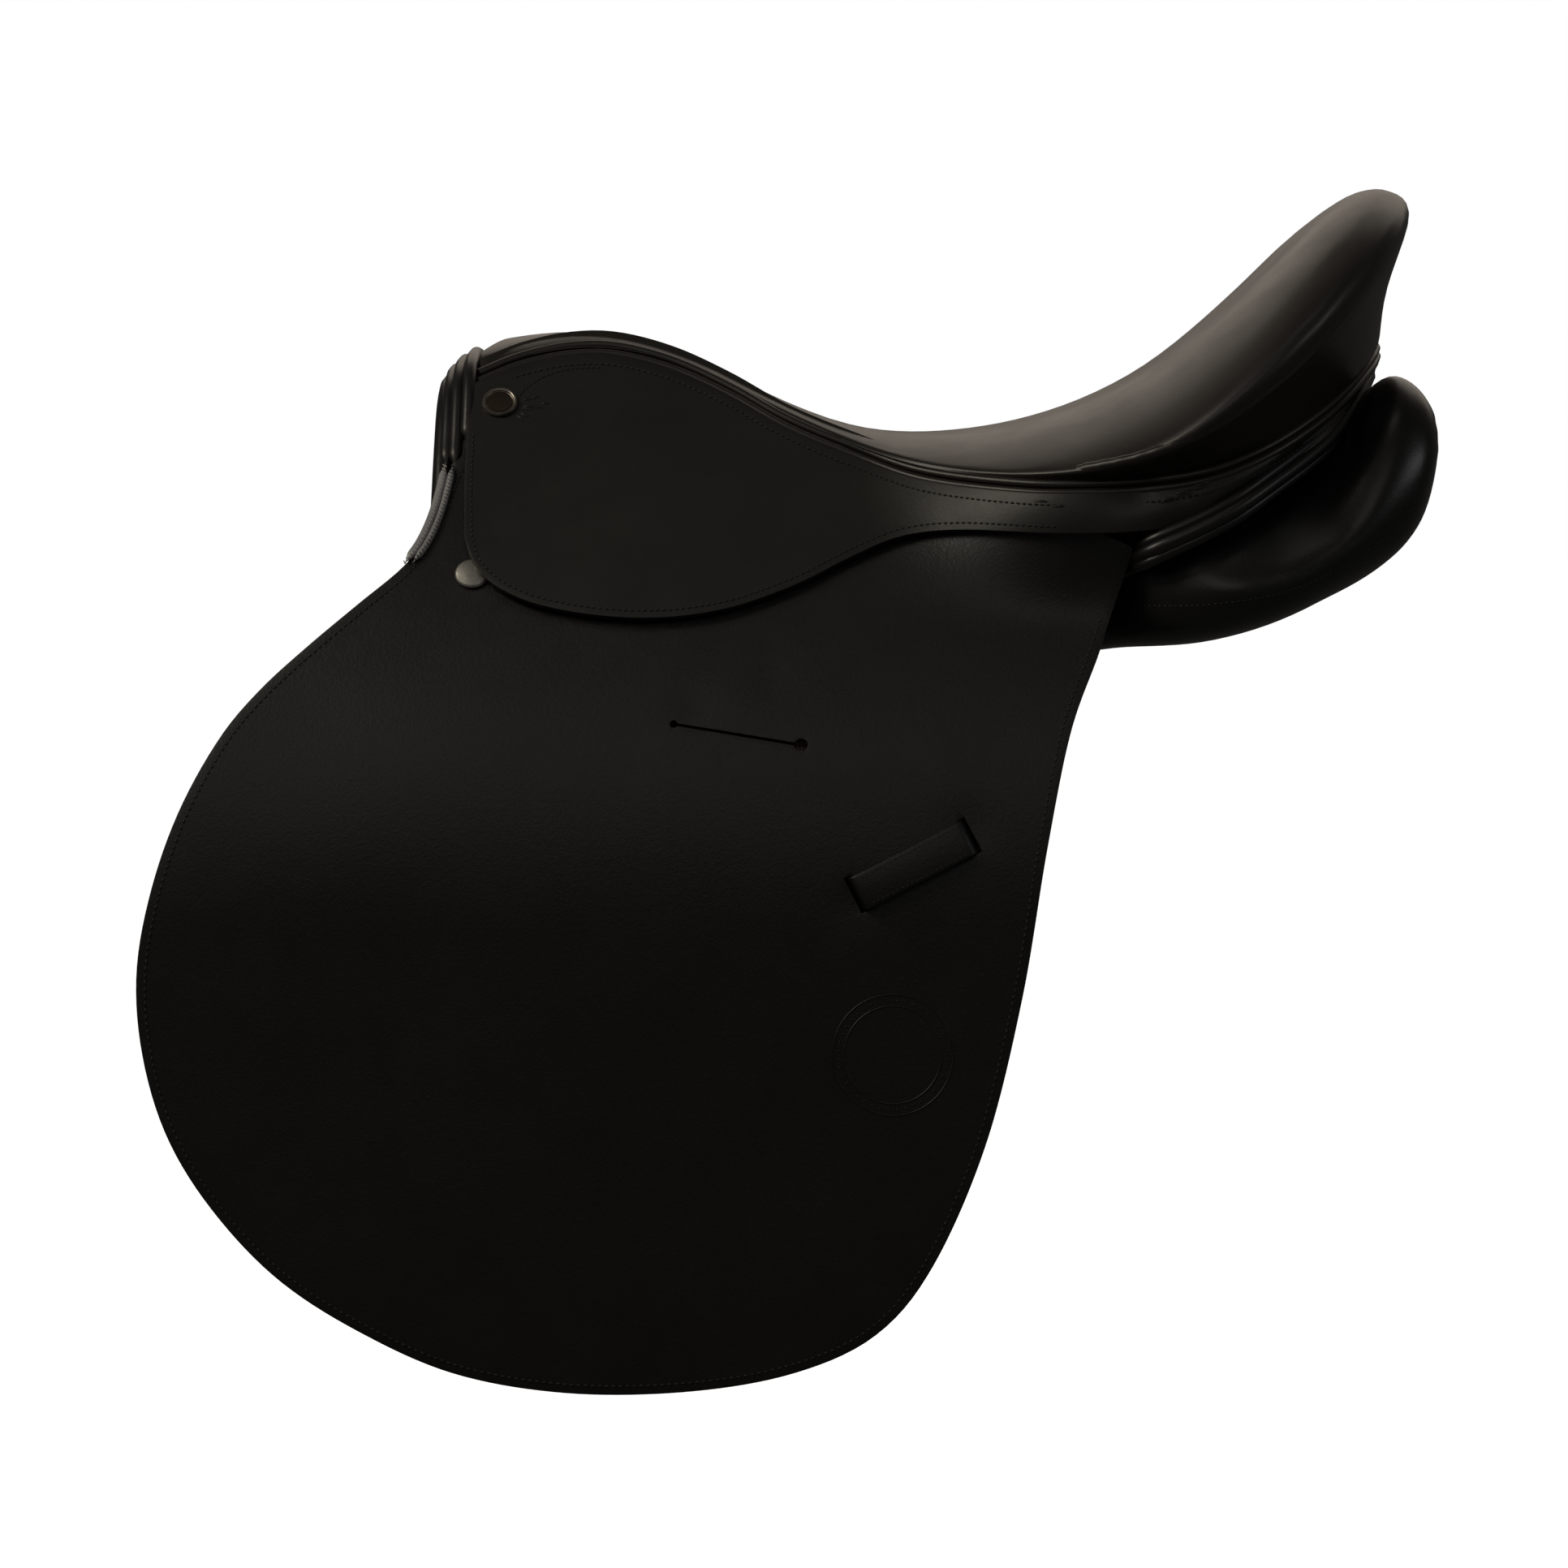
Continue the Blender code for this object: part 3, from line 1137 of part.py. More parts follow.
def closed_ring(controls):
    """Points round a smooth closed curve, two to each control point."""
    found = []
    n = len(controls)
    for i in range(n):
        four = [controls[(i + k - 1) % n] for k in range(4)]
        found += [between(*four, t) for t in (0.0, 0.5)]
    return found


def make_facings():
    half = [(side_y(FACING_X[0], z) + FACING_PATH_W, z) for z in (FACING_FOOT_Z, 85.0, 106.0)] + FACING_CROWN
    path = spline(half, 12, 2)
    path = path + [(-y, z) for y, z in reversed(path[:-1])]
    points = []
    for i, (y, z) in enumerate(path):
        before, after = path[max(i - 1, 0)], path[min(i + 1, len(path) - 1)]
        run = Vector((after[0] - before[0], after[1] - before[1])).normalized()
        normal = Vector((run.y, -run.x)) * FACING_HALF_THICK
        columns = []
        for x in (FACING_X[0] + 2.4, FACING_X[0], FACING_X[1]):
            thin = 0.6 if x == FACING_X[0] else 1.0
            columns.append([Vector((x, y + normal.x * s * thin, z + normal.y * s * thin)) for s in (-1, 1)])
        columns = [columns[1], columns[0], columns[2]]
        points.append(columns)
    finish("pommel_facing", block_mesh(points), "panel leather")

    half = spline(REAR_BAND_PATH, 12)
    path = [Vector(p) for p in half] + [Vector((x, -y, z)) for x, y, z in reversed(half[:-1])]
    points = []
    for i, spot in enumerate(path):
        run = (path[min(i + 1, len(path) - 1)] - path[max(i - 1, 0)]).normalized()
        side = Vector((-run.y, run.x, 0)).normalized()
        if side.dot(spot - Vector((100, 0, spot.z))) < 0:
            side = -side
        up = run.cross(side).normalized()
        if up.z < 0:
            up = -up
        pairs = []
        for share in (-1, 0, 1):
            base = spot + up * REAR_BAND_HALF_WIDTH * share
            swell = 0.6 if share else 1.0
            pairs.append([base - side * REAR_BAND_THICK / 2, base + side * REAR_BAND_THICK / 2 * swell])
        points.append(pairs)
    finish("rear_facing", block_mesh(points), "panel leather")


def main():
    clear_scene()
    seat = Seat()
    make_cover(seat)
    make_foam(seat)
    make_welts(seat)
    make_webs(seat)
    tree = make_tree(seat)
    make_tree_steel(seat)
    make_lining(seat)
    make_point_pockets()
    make_stirrup_bars(tree)
    for side, sign in SIDES.items():
        flap, flap_top = make_flaps(seat, side, sign)
        make_slot(flap, side, sign)
        make_keeper(flap, side, sign)
        skirt_top = make_skirts(seat, side, sign)
        make_fasteners(flap_top, skirt_top, tree, side, sign)
        make_sweat_flap(side, sign)
        make_girth_straps(side, sign)
        make_panel(side, sign)
    make_facings()


main()
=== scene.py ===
"""Looks of the English saddle: its leather, stitching, piping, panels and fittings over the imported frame.

Frame: -X is the front, +X the rear, -Y the horse's left, +Z up. Shapes are worked out in
millimetres and turned into metres as each piece is made. The leather follows one side surface,
y = side_y(x, z), and an offset w from it, positive outwards.
"""

import json
import math

import bmesh
import bpy
from mathutils import Matrix, Vector
from mathutils.bvhtree import BVHTree

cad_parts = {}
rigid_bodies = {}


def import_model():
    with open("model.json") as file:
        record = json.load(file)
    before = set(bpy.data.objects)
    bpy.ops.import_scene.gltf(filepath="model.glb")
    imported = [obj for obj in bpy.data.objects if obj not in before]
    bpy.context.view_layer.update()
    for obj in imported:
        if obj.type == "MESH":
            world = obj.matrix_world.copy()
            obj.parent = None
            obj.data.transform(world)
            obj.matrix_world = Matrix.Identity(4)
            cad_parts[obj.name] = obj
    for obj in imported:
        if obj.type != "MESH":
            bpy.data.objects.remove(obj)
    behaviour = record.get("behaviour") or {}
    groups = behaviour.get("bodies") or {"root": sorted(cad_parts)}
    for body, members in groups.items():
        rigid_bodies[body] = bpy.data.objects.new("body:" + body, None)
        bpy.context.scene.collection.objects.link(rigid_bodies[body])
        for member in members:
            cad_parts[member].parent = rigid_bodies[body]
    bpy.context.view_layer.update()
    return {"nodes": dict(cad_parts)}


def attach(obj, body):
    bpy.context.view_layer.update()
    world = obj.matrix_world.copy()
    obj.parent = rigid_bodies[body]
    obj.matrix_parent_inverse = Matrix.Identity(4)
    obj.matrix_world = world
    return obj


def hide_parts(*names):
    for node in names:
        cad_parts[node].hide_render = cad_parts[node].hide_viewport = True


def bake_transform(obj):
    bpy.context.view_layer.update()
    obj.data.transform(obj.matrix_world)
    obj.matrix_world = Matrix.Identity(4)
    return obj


for left_over in list(bpy.data.objects):
    bpy.data.objects.remove(left_over, do_unlink=True)
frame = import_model()

MM = 0.001
SIDES = {"left": -1, "right": 1}

# ---- The side surface, as in the model's source ------------------------------------------------
SPREAD, SPREAD_Z = 176.0, -100.0
LOWER_LEAN, UPPER_LEAN = math.radians(5), math.radians(38)
PROFILE_RADIUS = 300.0
FLARE, FLARE_X, FLARE_Z = 42.0, (18.0, 126.0), (26.0, 96.0)

SKIRT_OUTER = 6.0
SKIRT_THICK = 2.6
FLAP_THICK = 3.6

# (x, z) of the welt between seat and skirt, then (x, half width) of it where it leaves the side surface
WELT = [
    (-150.6, 138.6), (-132.4, 146.1), (-110.4, 151.0), (-88.2, 151.0), (-62.2, 144.2), (-36.3, 132.3),
    (-10.0, 117.5), (20.0, 105.0), (50.0, 94.5), (89.7, 89.4), (120.0, 88.8), (150.0, 90.5), (177.6, 95.6),
    (205.0, 107.5), (232.5, 125.4), (251.0, 142.0), (259.0, 151.5), (261.0, 154.5),
]
WELT_Y_REAR = [
    (150.0, 134.0), (177.6, 132.0), (205.0, 121.0), (232.5, 98.0), (251.0, 65.0), (259.0, 34.0),
    (261.0, 0.0),
]
WELT_FRONT_X, WELT_REAR_X = -150.6, 260.9
WELT_LEAVES = (140, 155)  # x range where the welt leaves the side surface
WELT_REAR_LEAN = 0.5  # how far it stands out at the rear for each millimetre of drop
CURVE_STEPS = 12  # points between two given ones on a smooth curve


def smoothstep(start, end, x):
    """0 up to start, 1 from end on, and a smooth rise between them."""
    t = min(max((x - start) / (end - start), 0.0), 1.0)
    return t * t * (3 - 2 * t)


def profile(z):
    """Half width of the plain side surface at a height: straight above and below, round between."""
    middle_y = SPREAD - PROFILE_RADIUS * math.cos(LOWER_LEAN)
    middle_z = SPREAD_Z - PROFILE_RADIUS * math.sin(LOWER_LEAN)
    straight_z = middle_z + PROFILE_RADIUS * math.sin(UPPER_LEAN)
    if z > straight_z:
        return middle_y + PROFILE_RADIUS * math.cos(UPPER_LEAN) - (z - straight_z) * math.tan(UPPER_LEAN)
    if z < SPREAD_Z:
        return SPREAD + (SPREAD_Z - z) * math.tan(LOWER_LEAN)
    return middle_y + math.sqrt(PROFILE_RADIUS**2 - (z - middle_z) ** 2)


def side_y(x, z):
    return profile(z) + FLARE * smoothstep(*FLARE_X, x) * smoothstep(*FLARE_Z, z)


def on_side(sign, x, z, w):
    """The point at (x, z) that lies w outside the side surface."""
    return Vector((x, sign * (side_y(x, z) + w), z))


def side_normal(sign, x, z):
    along = on_side(sign, x + 1, z, 0) - on_side(sign, x - 1, z, 0)
    up = on_side(sign, x, z + 1, 0) - on_side(sign, x, z - 1, 0)
    normal = along.cross(up).normalized()
    return normal if normal.y * sign > 0 else -normal


def lookup(table, x):
    """The value at x of a table of (x, value) rows, straight between the rows."""
    if x <= table[0][0]:
        return table[0][1]
    for (x0, v0), (x1, v1) in zip(table, table[1:]):
        if x <= x1:
            return v0 + (v1 - v0) * (x - x0) / (x1 - x0)
    return table[-1][1]


def between(p0, p1, p2, p3, t):
    """The point at share t from p1 to p2 on a smooth curve through all four."""
    weights = (
        -(t**3) + 2 * t**2 - t,
        3 * t**3 - 5 * t**2 + 2,
        -3 * t**3 + 4 * t**2 + t,
        t**3 - t**2,
    )
    return sum((w * p for w, p in zip(weights, (p0, p1, p2, p3))), Vector([0.0] * len(p0))) / 2


def dense_curve(points):
    """Many points along a smooth curve through the given ones."""
    points = [Vector(p) for p in points]
    ends = [2 * points[0] - points[1], *points, 2 * points[-1] - points[-2]]
    found = []
    for i in range(1, len(ends) - 2):
        found += [between(*ends[i - 1 : i + 3], k / CURVE_STEPS) for k in range(CURVE_STEPS)]
    return found + [points[-1]]


def spaced(dense, count):
    """count points evenly spaced along a line of many points."""
    length = [0.0]
    for a, b in zip(dense, dense[1:]):
        length.append(length[-1] + (b - a).length)
    found, k = [], 0
    for i in range(count):
        goal = length[-1] * i / (count - 1)
        while k < len(dense) - 2 and length[k + 1] < goal:
            k += 1
        step = length[k + 1] - length[k]
        found.append(dense[k].lerp(dense[k + 1], (goal - length[k]) / step if step else 0.0))
    return found


def curve(points, count):
    return spaced(dense_curve(points), count)


def length_of(points):
    return sum((b - a).length for a, b in zip(points, points[1:]))


WELT_LINE = [(p.x, p.y) for p in dense_curve(WELT)]
WELT_REAR = [(p.x, p.y) for p in dense_curve(WELT_Y_REAR)]


def welt_point(sign, x, drop=0.0, out=0.0):
    """A point on the welt, or lower by drop and further out by out."""
    z = lookup(WELT_LINE, x) - drop
    share = smoothstep(*WELT_LEAVES, x)
    rear = lookup(WELT_REAR, x) + WELT_REAR_LEAN * drop
    return Vector((x, sign * (side_y(x, z) * (1 - share) + rear * share + out), z))


# ---- Materials ---------------------------------------------------------------------------------
CLOUD_SCALE = 16.0  # of the cloudy dye in the leather


def new_material(name):
    """A new material, its nodes and links, its shader, and the object coordinates."""
    made = bpy.data.materials.new(name)
    made.use_nodes = True
    nodes, links = made.node_tree.nodes, made.node_tree.links
    shader = nodes["Principled BSDF"]
    place = nodes.new("ShaderNodeTexCoord")
    return made, nodes, links, shader, place.outputs["Object"]


def noise(nodes, links, place, scale, detail=3.0, roughness=0.5):
    made = nodes.new("ShaderNodeTexNoise")
    made.inputs["Scale"].default_value = scale
    made.inputs["Detail"].default_value = detail
    made.inputs["Roughness"].default_value = roughness
    links.new(place, made.inputs["Vector"])
    return made.outputs["Fac"]


def spread(nodes, links, value, low, high):
    """A noise value, turned into a number between low and high."""
    made = nodes.new("ShaderNodeMapRange")
    made.interpolation_type = "SMOOTHSTEP"
    for name, number in (("From Min", 0.35), ("From Max", 0.65), ("To Min", low), ("To Max", high)):
        made.inputs[name].default_value = number
    links.new(value, made.inputs["Value"])
    return made.outputs["Result"]


def blend_colours(nodes, links, share, dark, light):
    made = nodes.new("ShaderNodeValToRGB")
    for stop, place, colour in zip(made.color_ramp.elements, (0.36, 0.66), (dark, light)):
        stop.position = place
        stop.color = (*colour, 1.0)
    links.new(share, made.inputs["Fac"])
    return made.outputs["Color"]


def roughen(nodes, links, shader, height, strength, depth):
    """Gives the surface the relief of a height value, depth in metres."""
    bump = nodes.new("ShaderNodeBump")
    bump.inputs["Strength"].default_value = strength
    bump.inputs["Distance"].default_value = depth
    links.new(height, bump.inputs["Height"])
    links.new(bump.outputs["Normal"], shader.inputs["Normal"])


def leather(name, dark, light, rough, grain, relief, gloss=0.0):
    """Dressed leather: cloudy dye, fine pebbled grain, pores and rubbed patches. The grain is the
    size of its pebbles in millimetres."""
    made, nodes, links, shader, place = new_material(name)
    clouds = noise(nodes, links, place, CLOUD_SCALE, 4.0, 0.6)
    links.new(blend_colours(nodes, links, clouds, dark, light), shader.inputs["Base Color"])
    rubbed = noise(nodes, links, place, CLOUD_SCALE * 2.3, 5.0, 0.65)
    links.new(spread(nodes, links, rubbed, rough * 0.95, rough * 1.06), shader.inputs["Roughness"])
    cells = nodes.new("ShaderNodeTexVoronoi")
    cells.inputs["Scale"].default_value = 1000.0 / grain
    links.new(place, cells.inputs["Vector"])
    fine = noise(nodes, links, place, 420.0, 4.0, 0.7)
    total = nodes.new("ShaderNodeMath")
    total.operation = "MULTIPLY_ADD"
    total.inputs[1].default_value = 0.5
    links.new(cells.outputs["Distance"], total.inputs[0])
    links.new(fine, total.inputs[2])
    roughen(nodes, links, shader, total.outputs["Value"], relief, 0.0004)
    shader.inputs["Specular IOR Level"].default_value = 0.5
    if gloss:
        shader.inputs["Coat Weight"].default_value = gloss
        shader.inputs["Coat Roughness"].default_value = 0.22
    return made


def thread(name, colour):
    made, nodes, links, shader, place = new_material(name)
    fibres = noise(nodes, links, place, 1800.0, 2.0)
    dim = tuple(c * 0.6 for c in colour)
    links.new(blend_colours(nodes, links, fibres, dim, colour), shader.inputs["Base Color"])
    shader.inputs["Roughness"].default_value = 0.6
    return made


def metal(name, dark, light, rough):
    made, nodes, links, shader, place = new_material(name)
    tarnish = noise(nodes, links, place, 160.0, 5.0, 0.65)
    links.new(blend_colours(nodes, links, tarnish, dark, light), shader.inputs["Base Color"])
    links.new(spread(nodes, links, tarnish, rough * 1.3, rough * 0.8), shader.inputs["Roughness"])
    shader.inputs["Metallic"].default_value = 1.0
    roughen(nodes, links, shader, noise(nodes, links, place, 900.0, 3.0), 0.12, 0.0001)
    return made


def wood(name):
    made, nodes, links, shader, place = new_material(name)
    layers = nodes.new("ShaderNodeTexWave")
    layers.bands_direction = "Z"
    layers.inputs["Scale"].default_value = 110.0
    layers.inputs["Distortion"].default_value = 2.5
    layers.inputs["Detail"].default_value = 3.0
    links.new(place, layers.inputs["Vector"])
    colour = blend_colours(nodes, links, layers.outputs["Fac"], (0.24, 0.13, 0.06), (0.45, 0.29, 0.16))
    links.new(colour, shader.inputs["Base Color"])
    shader.inputs["Roughness"].default_value = 0.5
    return made


def woven(name, dark, light):
    made, nodes, links, shader, place = new_material(name)
    bands = []
    for direction in ("X", "Z"):
        wave = nodes.new("ShaderNodeTexWave")
        wave.bands_direction = direction
        wave.inputs["Scale"].default_value = 180.0
        wave.inputs["Distortion"].default_value = 0.4
        links.new(place, wave.inputs["Vector"])
        bands.append(wave.outputs["Fac"])
    weave = nodes.new("ShaderNodeMath")
    weave.operation = "MULTIPLY"
    links.new(bands[0], weave.inputs[0])
    links.new(bands[1], weave.inputs[1])
    links.new(blend_colours(nodes, links, weave.outputs["Value"], dark, light), shader.inputs["Base Color"])
    shader.inputs["Roughness"].default_value = 0.85
    roughen(nodes, links, shader, weave.outputs["Value"], 0.4, 0.0006)
    return made


SEAT_LEATHER = leather(
    "seat leather", (0.011, 0.0088, 0.0068), (0.017, 0.014, 0.011), 0.40, grain=1.1, relief=0.10, gloss=0.10
)
SKIRT_LEATHER = leather(
    "skirt leather", (0.0062, 0.0054, 0.0042), (0.0098, 0.0086, 0.0064), 0.45, grain=1.0, relief=0.12
)
FLAP_LEATHER = leather(
    "flap leather", (0.0034, 0.0030, 0.0030), (0.0056, 0.0049, 0.0048), 0.43, grain=1.3, relief=0.26
)
PANEL_LEATHER = leather(
    "panel leather", (0.0030, 0.0027, 0.0026), (0.0048, 0.0043, 0.0041), 0.33,
    grain=0.9, relief=0.12, gloss=0.12,
)
STRAP_LEATHER = leather(
    "strap leather", (0.020, 0.012, 0.008), (0.040, 0.025, 0.016), 0.5, grain=1.5, relief=0.25
)
FACING_LEATHER = leather(
    "facing leather", (0.0060, 0.0053, 0.0048), (0.010, 0.0088, 0.0080), 0.38,
    grain=0.8, relief=0.14, gloss=0.1,
)
# Pale leather for the whipped ridges. The colour is lighter than the leather's own tone so that it also
# carries a painted highlight along the glossy edge: partly real pale leather, partly painted highlight.
RIDGE_LEATHER_PAINTED_HIGHLIGHT = leather(
    "ridge leather with painted highlight", (0.30, 0.30, 0.305), (0.46, 0.46, 0.465), 0.30, grain=0.8, relief=0.2, gloss=0.2
)
DARK_THREAD = thread("dark thread", (0.02, 0.017, 0.014))
PALE_THREAD = thread("pale thread", (0.62, 0.62, 0.62))
WORN_NICKEL = metal("worn nickel", (0.13, 0.115, 0.095), (0.30, 0.27, 0.23), 0.34)
BRIGHT_NICKEL = metal("bright nickel", (0.24, 0.23, 0.21), (0.42, 0.41, 0.38), 0.44)
NAIL_BROWN = metal("nail centre", (0.045, 0.033, 0.025), (0.10, 0.078, 0.06), 0.38)
STEEL = metal("ground steel", (0.36, 0.36, 0.37), (0.60, 0.60, 0.61), 0.3)
SPRING_STEEL = metal("lacquered steel", (0.07, 0.07, 0.075), (0.13, 0.13, 0.135), 0.4)
BEECH = wood("laminated beech")
WEBBING = woven("webbing", (0.26, 0.22, 0.16), (0.52, 0.46, 0.36))
LINING = leather("lining leather", (0.018, 0.014, 0.011), (0.034, 0.027, 0.021), 0.55, grain=1.2, relief=0.3)
FOAM = woven("foam", (0.56, 0.50, 0.34), (0.72, 0.66, 0.48))


# ---- Making pieces -----------------------------------------------------------------------------
def dress(piece, name, finish):
    piece.name = name
    piece.data.name = name
    piece.data.materials.clear()
    piece.data.materials.append(finish)
    return piece


def linked(name, data):
    """A new object in the scene."""
    piece = bpy.data.objects.new(name, data)
    bpy.context.scene.collection.objects.link(piece)
    return piece


def pick(piece):
    """Selects this piece alone."""
    bpy.ops.object.select_all(action="DESELECT")
    piece.select_set(True)
    bpy.context.view_layer.objects.active = piece


def apply_modifiers(piece):
    pick(piece)
    for modifier in list(piece.modifiers):
        bpy.ops.object.modifier_apply(modifier=modifier.name)


def smooth(piece, degrees=40):
    pick(piece)
    bpy.ops.object.shade_smooth_by_angle(angle=math.radians(degrees))


def bake_place(piece):
    """Moves a piece's place into its mesh."""
    bpy.context.view_layer.update()
    piece.data.transform(piece.matrix_world)
    piece.matrix_world = Matrix.Identity(4)


def face_out(piece, outward):
    """Turns the piece's faces so that they look along outward."""
    total = sum((p.normal * p.area for p in piece.data.polygons), Vector())
    if total.dot(outward) < 0:
        piece.data.flip_normals()


def as_laid(spot, u, v):
    """For a sheet whose edges already give its surface."""
    return spot


def sheet_of(name, finish, edges, settle, thick, outward, rounding=0.9, cuts=(), *, cells):
    """A leather sheet: a grid laid between four edges (top, bottom, front, rear), each point put on
    its surface by settle(point, u, v), then given its thickness inwards and rounded edges."""
    across, down = cells
    top, bottom = (spaced(e, across + 1) for e in edges[:2])
    front, rear = (spaced(e, down + 1) for e in edges[2:])
    bpy.ops.object.select_all(action="DESELECT")
    bpy.ops.mesh.primitive_grid_add(x_subdivisions=across, y_subdivisions=down, size=2)
    piece = bpy.context.object
    for vertex in piece.data.vertices:
        i, j = round((vertex.co.x + 1) / 2 * across), round((1 - vertex.co.y) / 2 * down)
        u, v = i / across, j / down
        corners = top[0].lerp(top[-1], u).lerp(bottom[0].lerp(bottom[-1], u), v)
        spot = top[i].lerp(bottom[i], v) + front[j].lerp(rear[j], u) - corners
        vertex.co = settle(spot, u, v) * MM
    face_out(piece, outward)
    wall = piece.modifiers.new("thickness", "SOLIDIFY")
    wall.thickness = thick * MM
    wall.offset = -1
    apply_modifiers(piece)
    for cutter in cuts:
        cut = piece.modifiers.new("cut", "BOOLEAN")
        cut.operation = "DIFFERENCE"
        cut.solver = "EXACT"
        cut.object = cutter
    apply_modifiers(piece)
    for cutter in cuts:
        bpy.data.objects.remove(cutter, do_unlink=True)
    edge = piece.modifiers.new("edge", "BEVEL")
    edge.width = rounding * MM
    edge.segments = 3
    edge.limit_method = "ANGLE"
    edge.angle_limit = math.radians(50)
    edge.use_clamp_overlap = True
    apply_modifiers(piece)
    dress(piece, name, finish)
    smooth(piece)
    return piece


THINNEST_END = 0.08  # share of its radius that a thinned cord keeps at its ends


def piping(name, finish, path, radius, sides=4, taper=0.0):
    """A round cord of leather along a path, or along each of a list of paths, thinning over the
    taper share of each end."""
    line = bpy.data.curves.new(name, "CURVE")
    line.dimensions = "3D"
    line.bevel_depth = radius * MM
    line.bevel_resolution = sides
    line.use_fill_caps = True
    for one in path if isinstance(path[0], list) else [path]:
        run = line.splines.new("POLY")
        run.points.add(len(one) - 1)
        for i, (point, spot) in enumerate(zip(run.points, one)):
            point.co = (*(spot * MM), 1.0)
            if taper:
                from_end = min(i, len(one) - 1 - i) / (len(one) - 1)
                point.radius = max(smoothstep(0, taper, from_end), THINNEST_END)
    pick(linked(name, line))
    bpy.ops.object.convert(target="MESH")
    piece = bpy.context.object
    dress(piece, name, finish)
    smooth(piece, 60)
    return piece


def one_stitch(length, radius):
    """A single stitch, a small pillow of thread lying along X."""
    bpy.ops.object.select_all(action="DESELECT")
    bpy.ops.mesh.primitive_uv_sphere_add(segments=6, ring_count=4, radius=1.0)
    model = bpy.context.object
    model.scale = (length / 2 * MM, radius * MM, radius * 0.8 * MM)
    bake_place(model)
    return model


def stitches(name, finish, path, normals, pitch=3.0, length=2.3, radius=0.36, slant=0.0):
    """A row of stitches along a path, each lying on the surface whose normal is given."""
    count = max(2, round(length_of(path) / pitch))
    spots = spaced(path, count + 1)
    model = one_stitch(length, radius)
    rows = bmesh.new()
    for i in range(count):
        a, b = spots[i], spots[i + 1]
        share = (i + 0.5) / count * (len(normals) - 1)
        normal = normals[int(share)].lerp(normals[min(int(share) + 1, len(normals) - 1)], share % 1)
        run = (b - a).normalized()
        across = normal.cross(run).normalized()
        if slant:
            run = (run * math.cos(slant) + across * math.sin(slant)).normalized()
            across = normal.cross(run).normalized()
        up = run.cross(across).normalized()
        turn = Matrix((run, across, up)).transposed().to_4x4()
        turn.translation = (a + b) / 2 * MM
        before = len(rows.verts)
        rows.from_mesh(model.data)
        rows.verts.ensure_lookup_table()
        bmesh.ops.transform(rows, matrix=turn, verts=rows.verts[before:])
    mesh = bpy.data.meshes.new(name)
    rows.to_mesh(mesh)
    rows.free()
    bpy.data.objects.remove(model, do_unlink=True)
    piece = linked(name, mesh)
    dress(piece, name, finish)
    mesh.shade_smooth()
    return piece


def rounded_copy(node, name, finish):
    """A smooth piece over a soft CAD solid's own shape."""
    piece = linked(name, frame["nodes"][node].data.copy())
    pick(piece)
    bpy.ops.object.mode_set(mode="EDIT")
    bpy.ops.mesh.select_all(action="SELECT")
    bpy.ops.mesh.remove_doubles(threshold=0.02 * MM)
    widest = math.radians(60)
    bpy.ops.mesh.tris_convert_to_quads(face_threshold=widest, shape_threshold=widest)
    bpy.ops.object.mode_set(mode="OBJECT")
    round_off = piece.modifiers.new("round", "SUBSURF")
    round_off.levels = round_off.render_levels = 2
    apply_modifiers(piece)
    dress(piece, name, finish)
    smooth(piece, 60)
    return piece


def face_along(piece, spot, normal):
    """Puts a piece at a spot with its Z along a normal."""
    face = Vector(normal).normalized().to_track_quat("Z", "Y")
    piece.matrix_world = Matrix.Translation(Vector(spot) * MM) @ face.to_matrix().to_4x4()
    bake_place(piece)


def disc(name, finish, rings, spot, normal):
    """A turned piece: a disc shaped ring by ring, (radius, height) from its rim inwards."""
    last, height = rings[0]
    bpy.ops.object.select_all(action="DESELECT")
    bpy.ops.mesh.primitive_circle_add(vertices=48, radius=last * MM, fill_type="NGON")
    piece = bpy.context.object
    bpy.ops.object.mode_set(mode="EDIT")
    bpy.ops.mesh.select_all(action="SELECT")
    bpy.ops.transform.translate(value=(0, 0, height * MM))
    for radius, rise in rings[1:]:
        bpy.ops.mesh.extrude_region_move(TRANSFORM_OT_translate={"value": (0, 0, (rise - height) * MM)})
        share = radius / last
        bpy.ops.transform.resize(value=(share, share, 1), center_override=(0, 0, rise * MM))
        last, height = radius, rise
    bpy.ops.object.mode_set(mode="OBJECT")
    face_along(piece, spot, normal)
    dress(piece, name, finish)
    smooth(piece, 35)
    return piece


def box_cutter(spot, normal, along, size):
    """A box whose X lies along `along` and Z along `normal`; cuts what it meets."""
    bpy.ops.object.select_all(action="DESELECT")
    bpy.ops.mesh.primitive_cube_add(size=1)
    cutter = bpy.context.object
    normal = Vector(normal).normalized()
    along = (Vector(along) - normal * Vector(along).dot(normal)).normalized()
    across = normal.cross(along)
    turn = Matrix((along, across, normal)).transposed().to_4x4()
    turn.translation = Vector(spot) * MM
    cutter.matrix_world = turn @ Matrix.Diagonal((*(s * MM for s in size), 1.0))
    bake_place(cutter)
    return cutter


def hole_cutter(spot, normal, radius, depth):
    bpy.ops.object.select_all(action="DESELECT")
    bpy.ops.mesh.primitive_cylinder_add(vertices=20, radius=radius * MM, depth=depth * MM)
    cutter = bpy.context.object
    face_along(cutter, spot, normal)
    return cutter


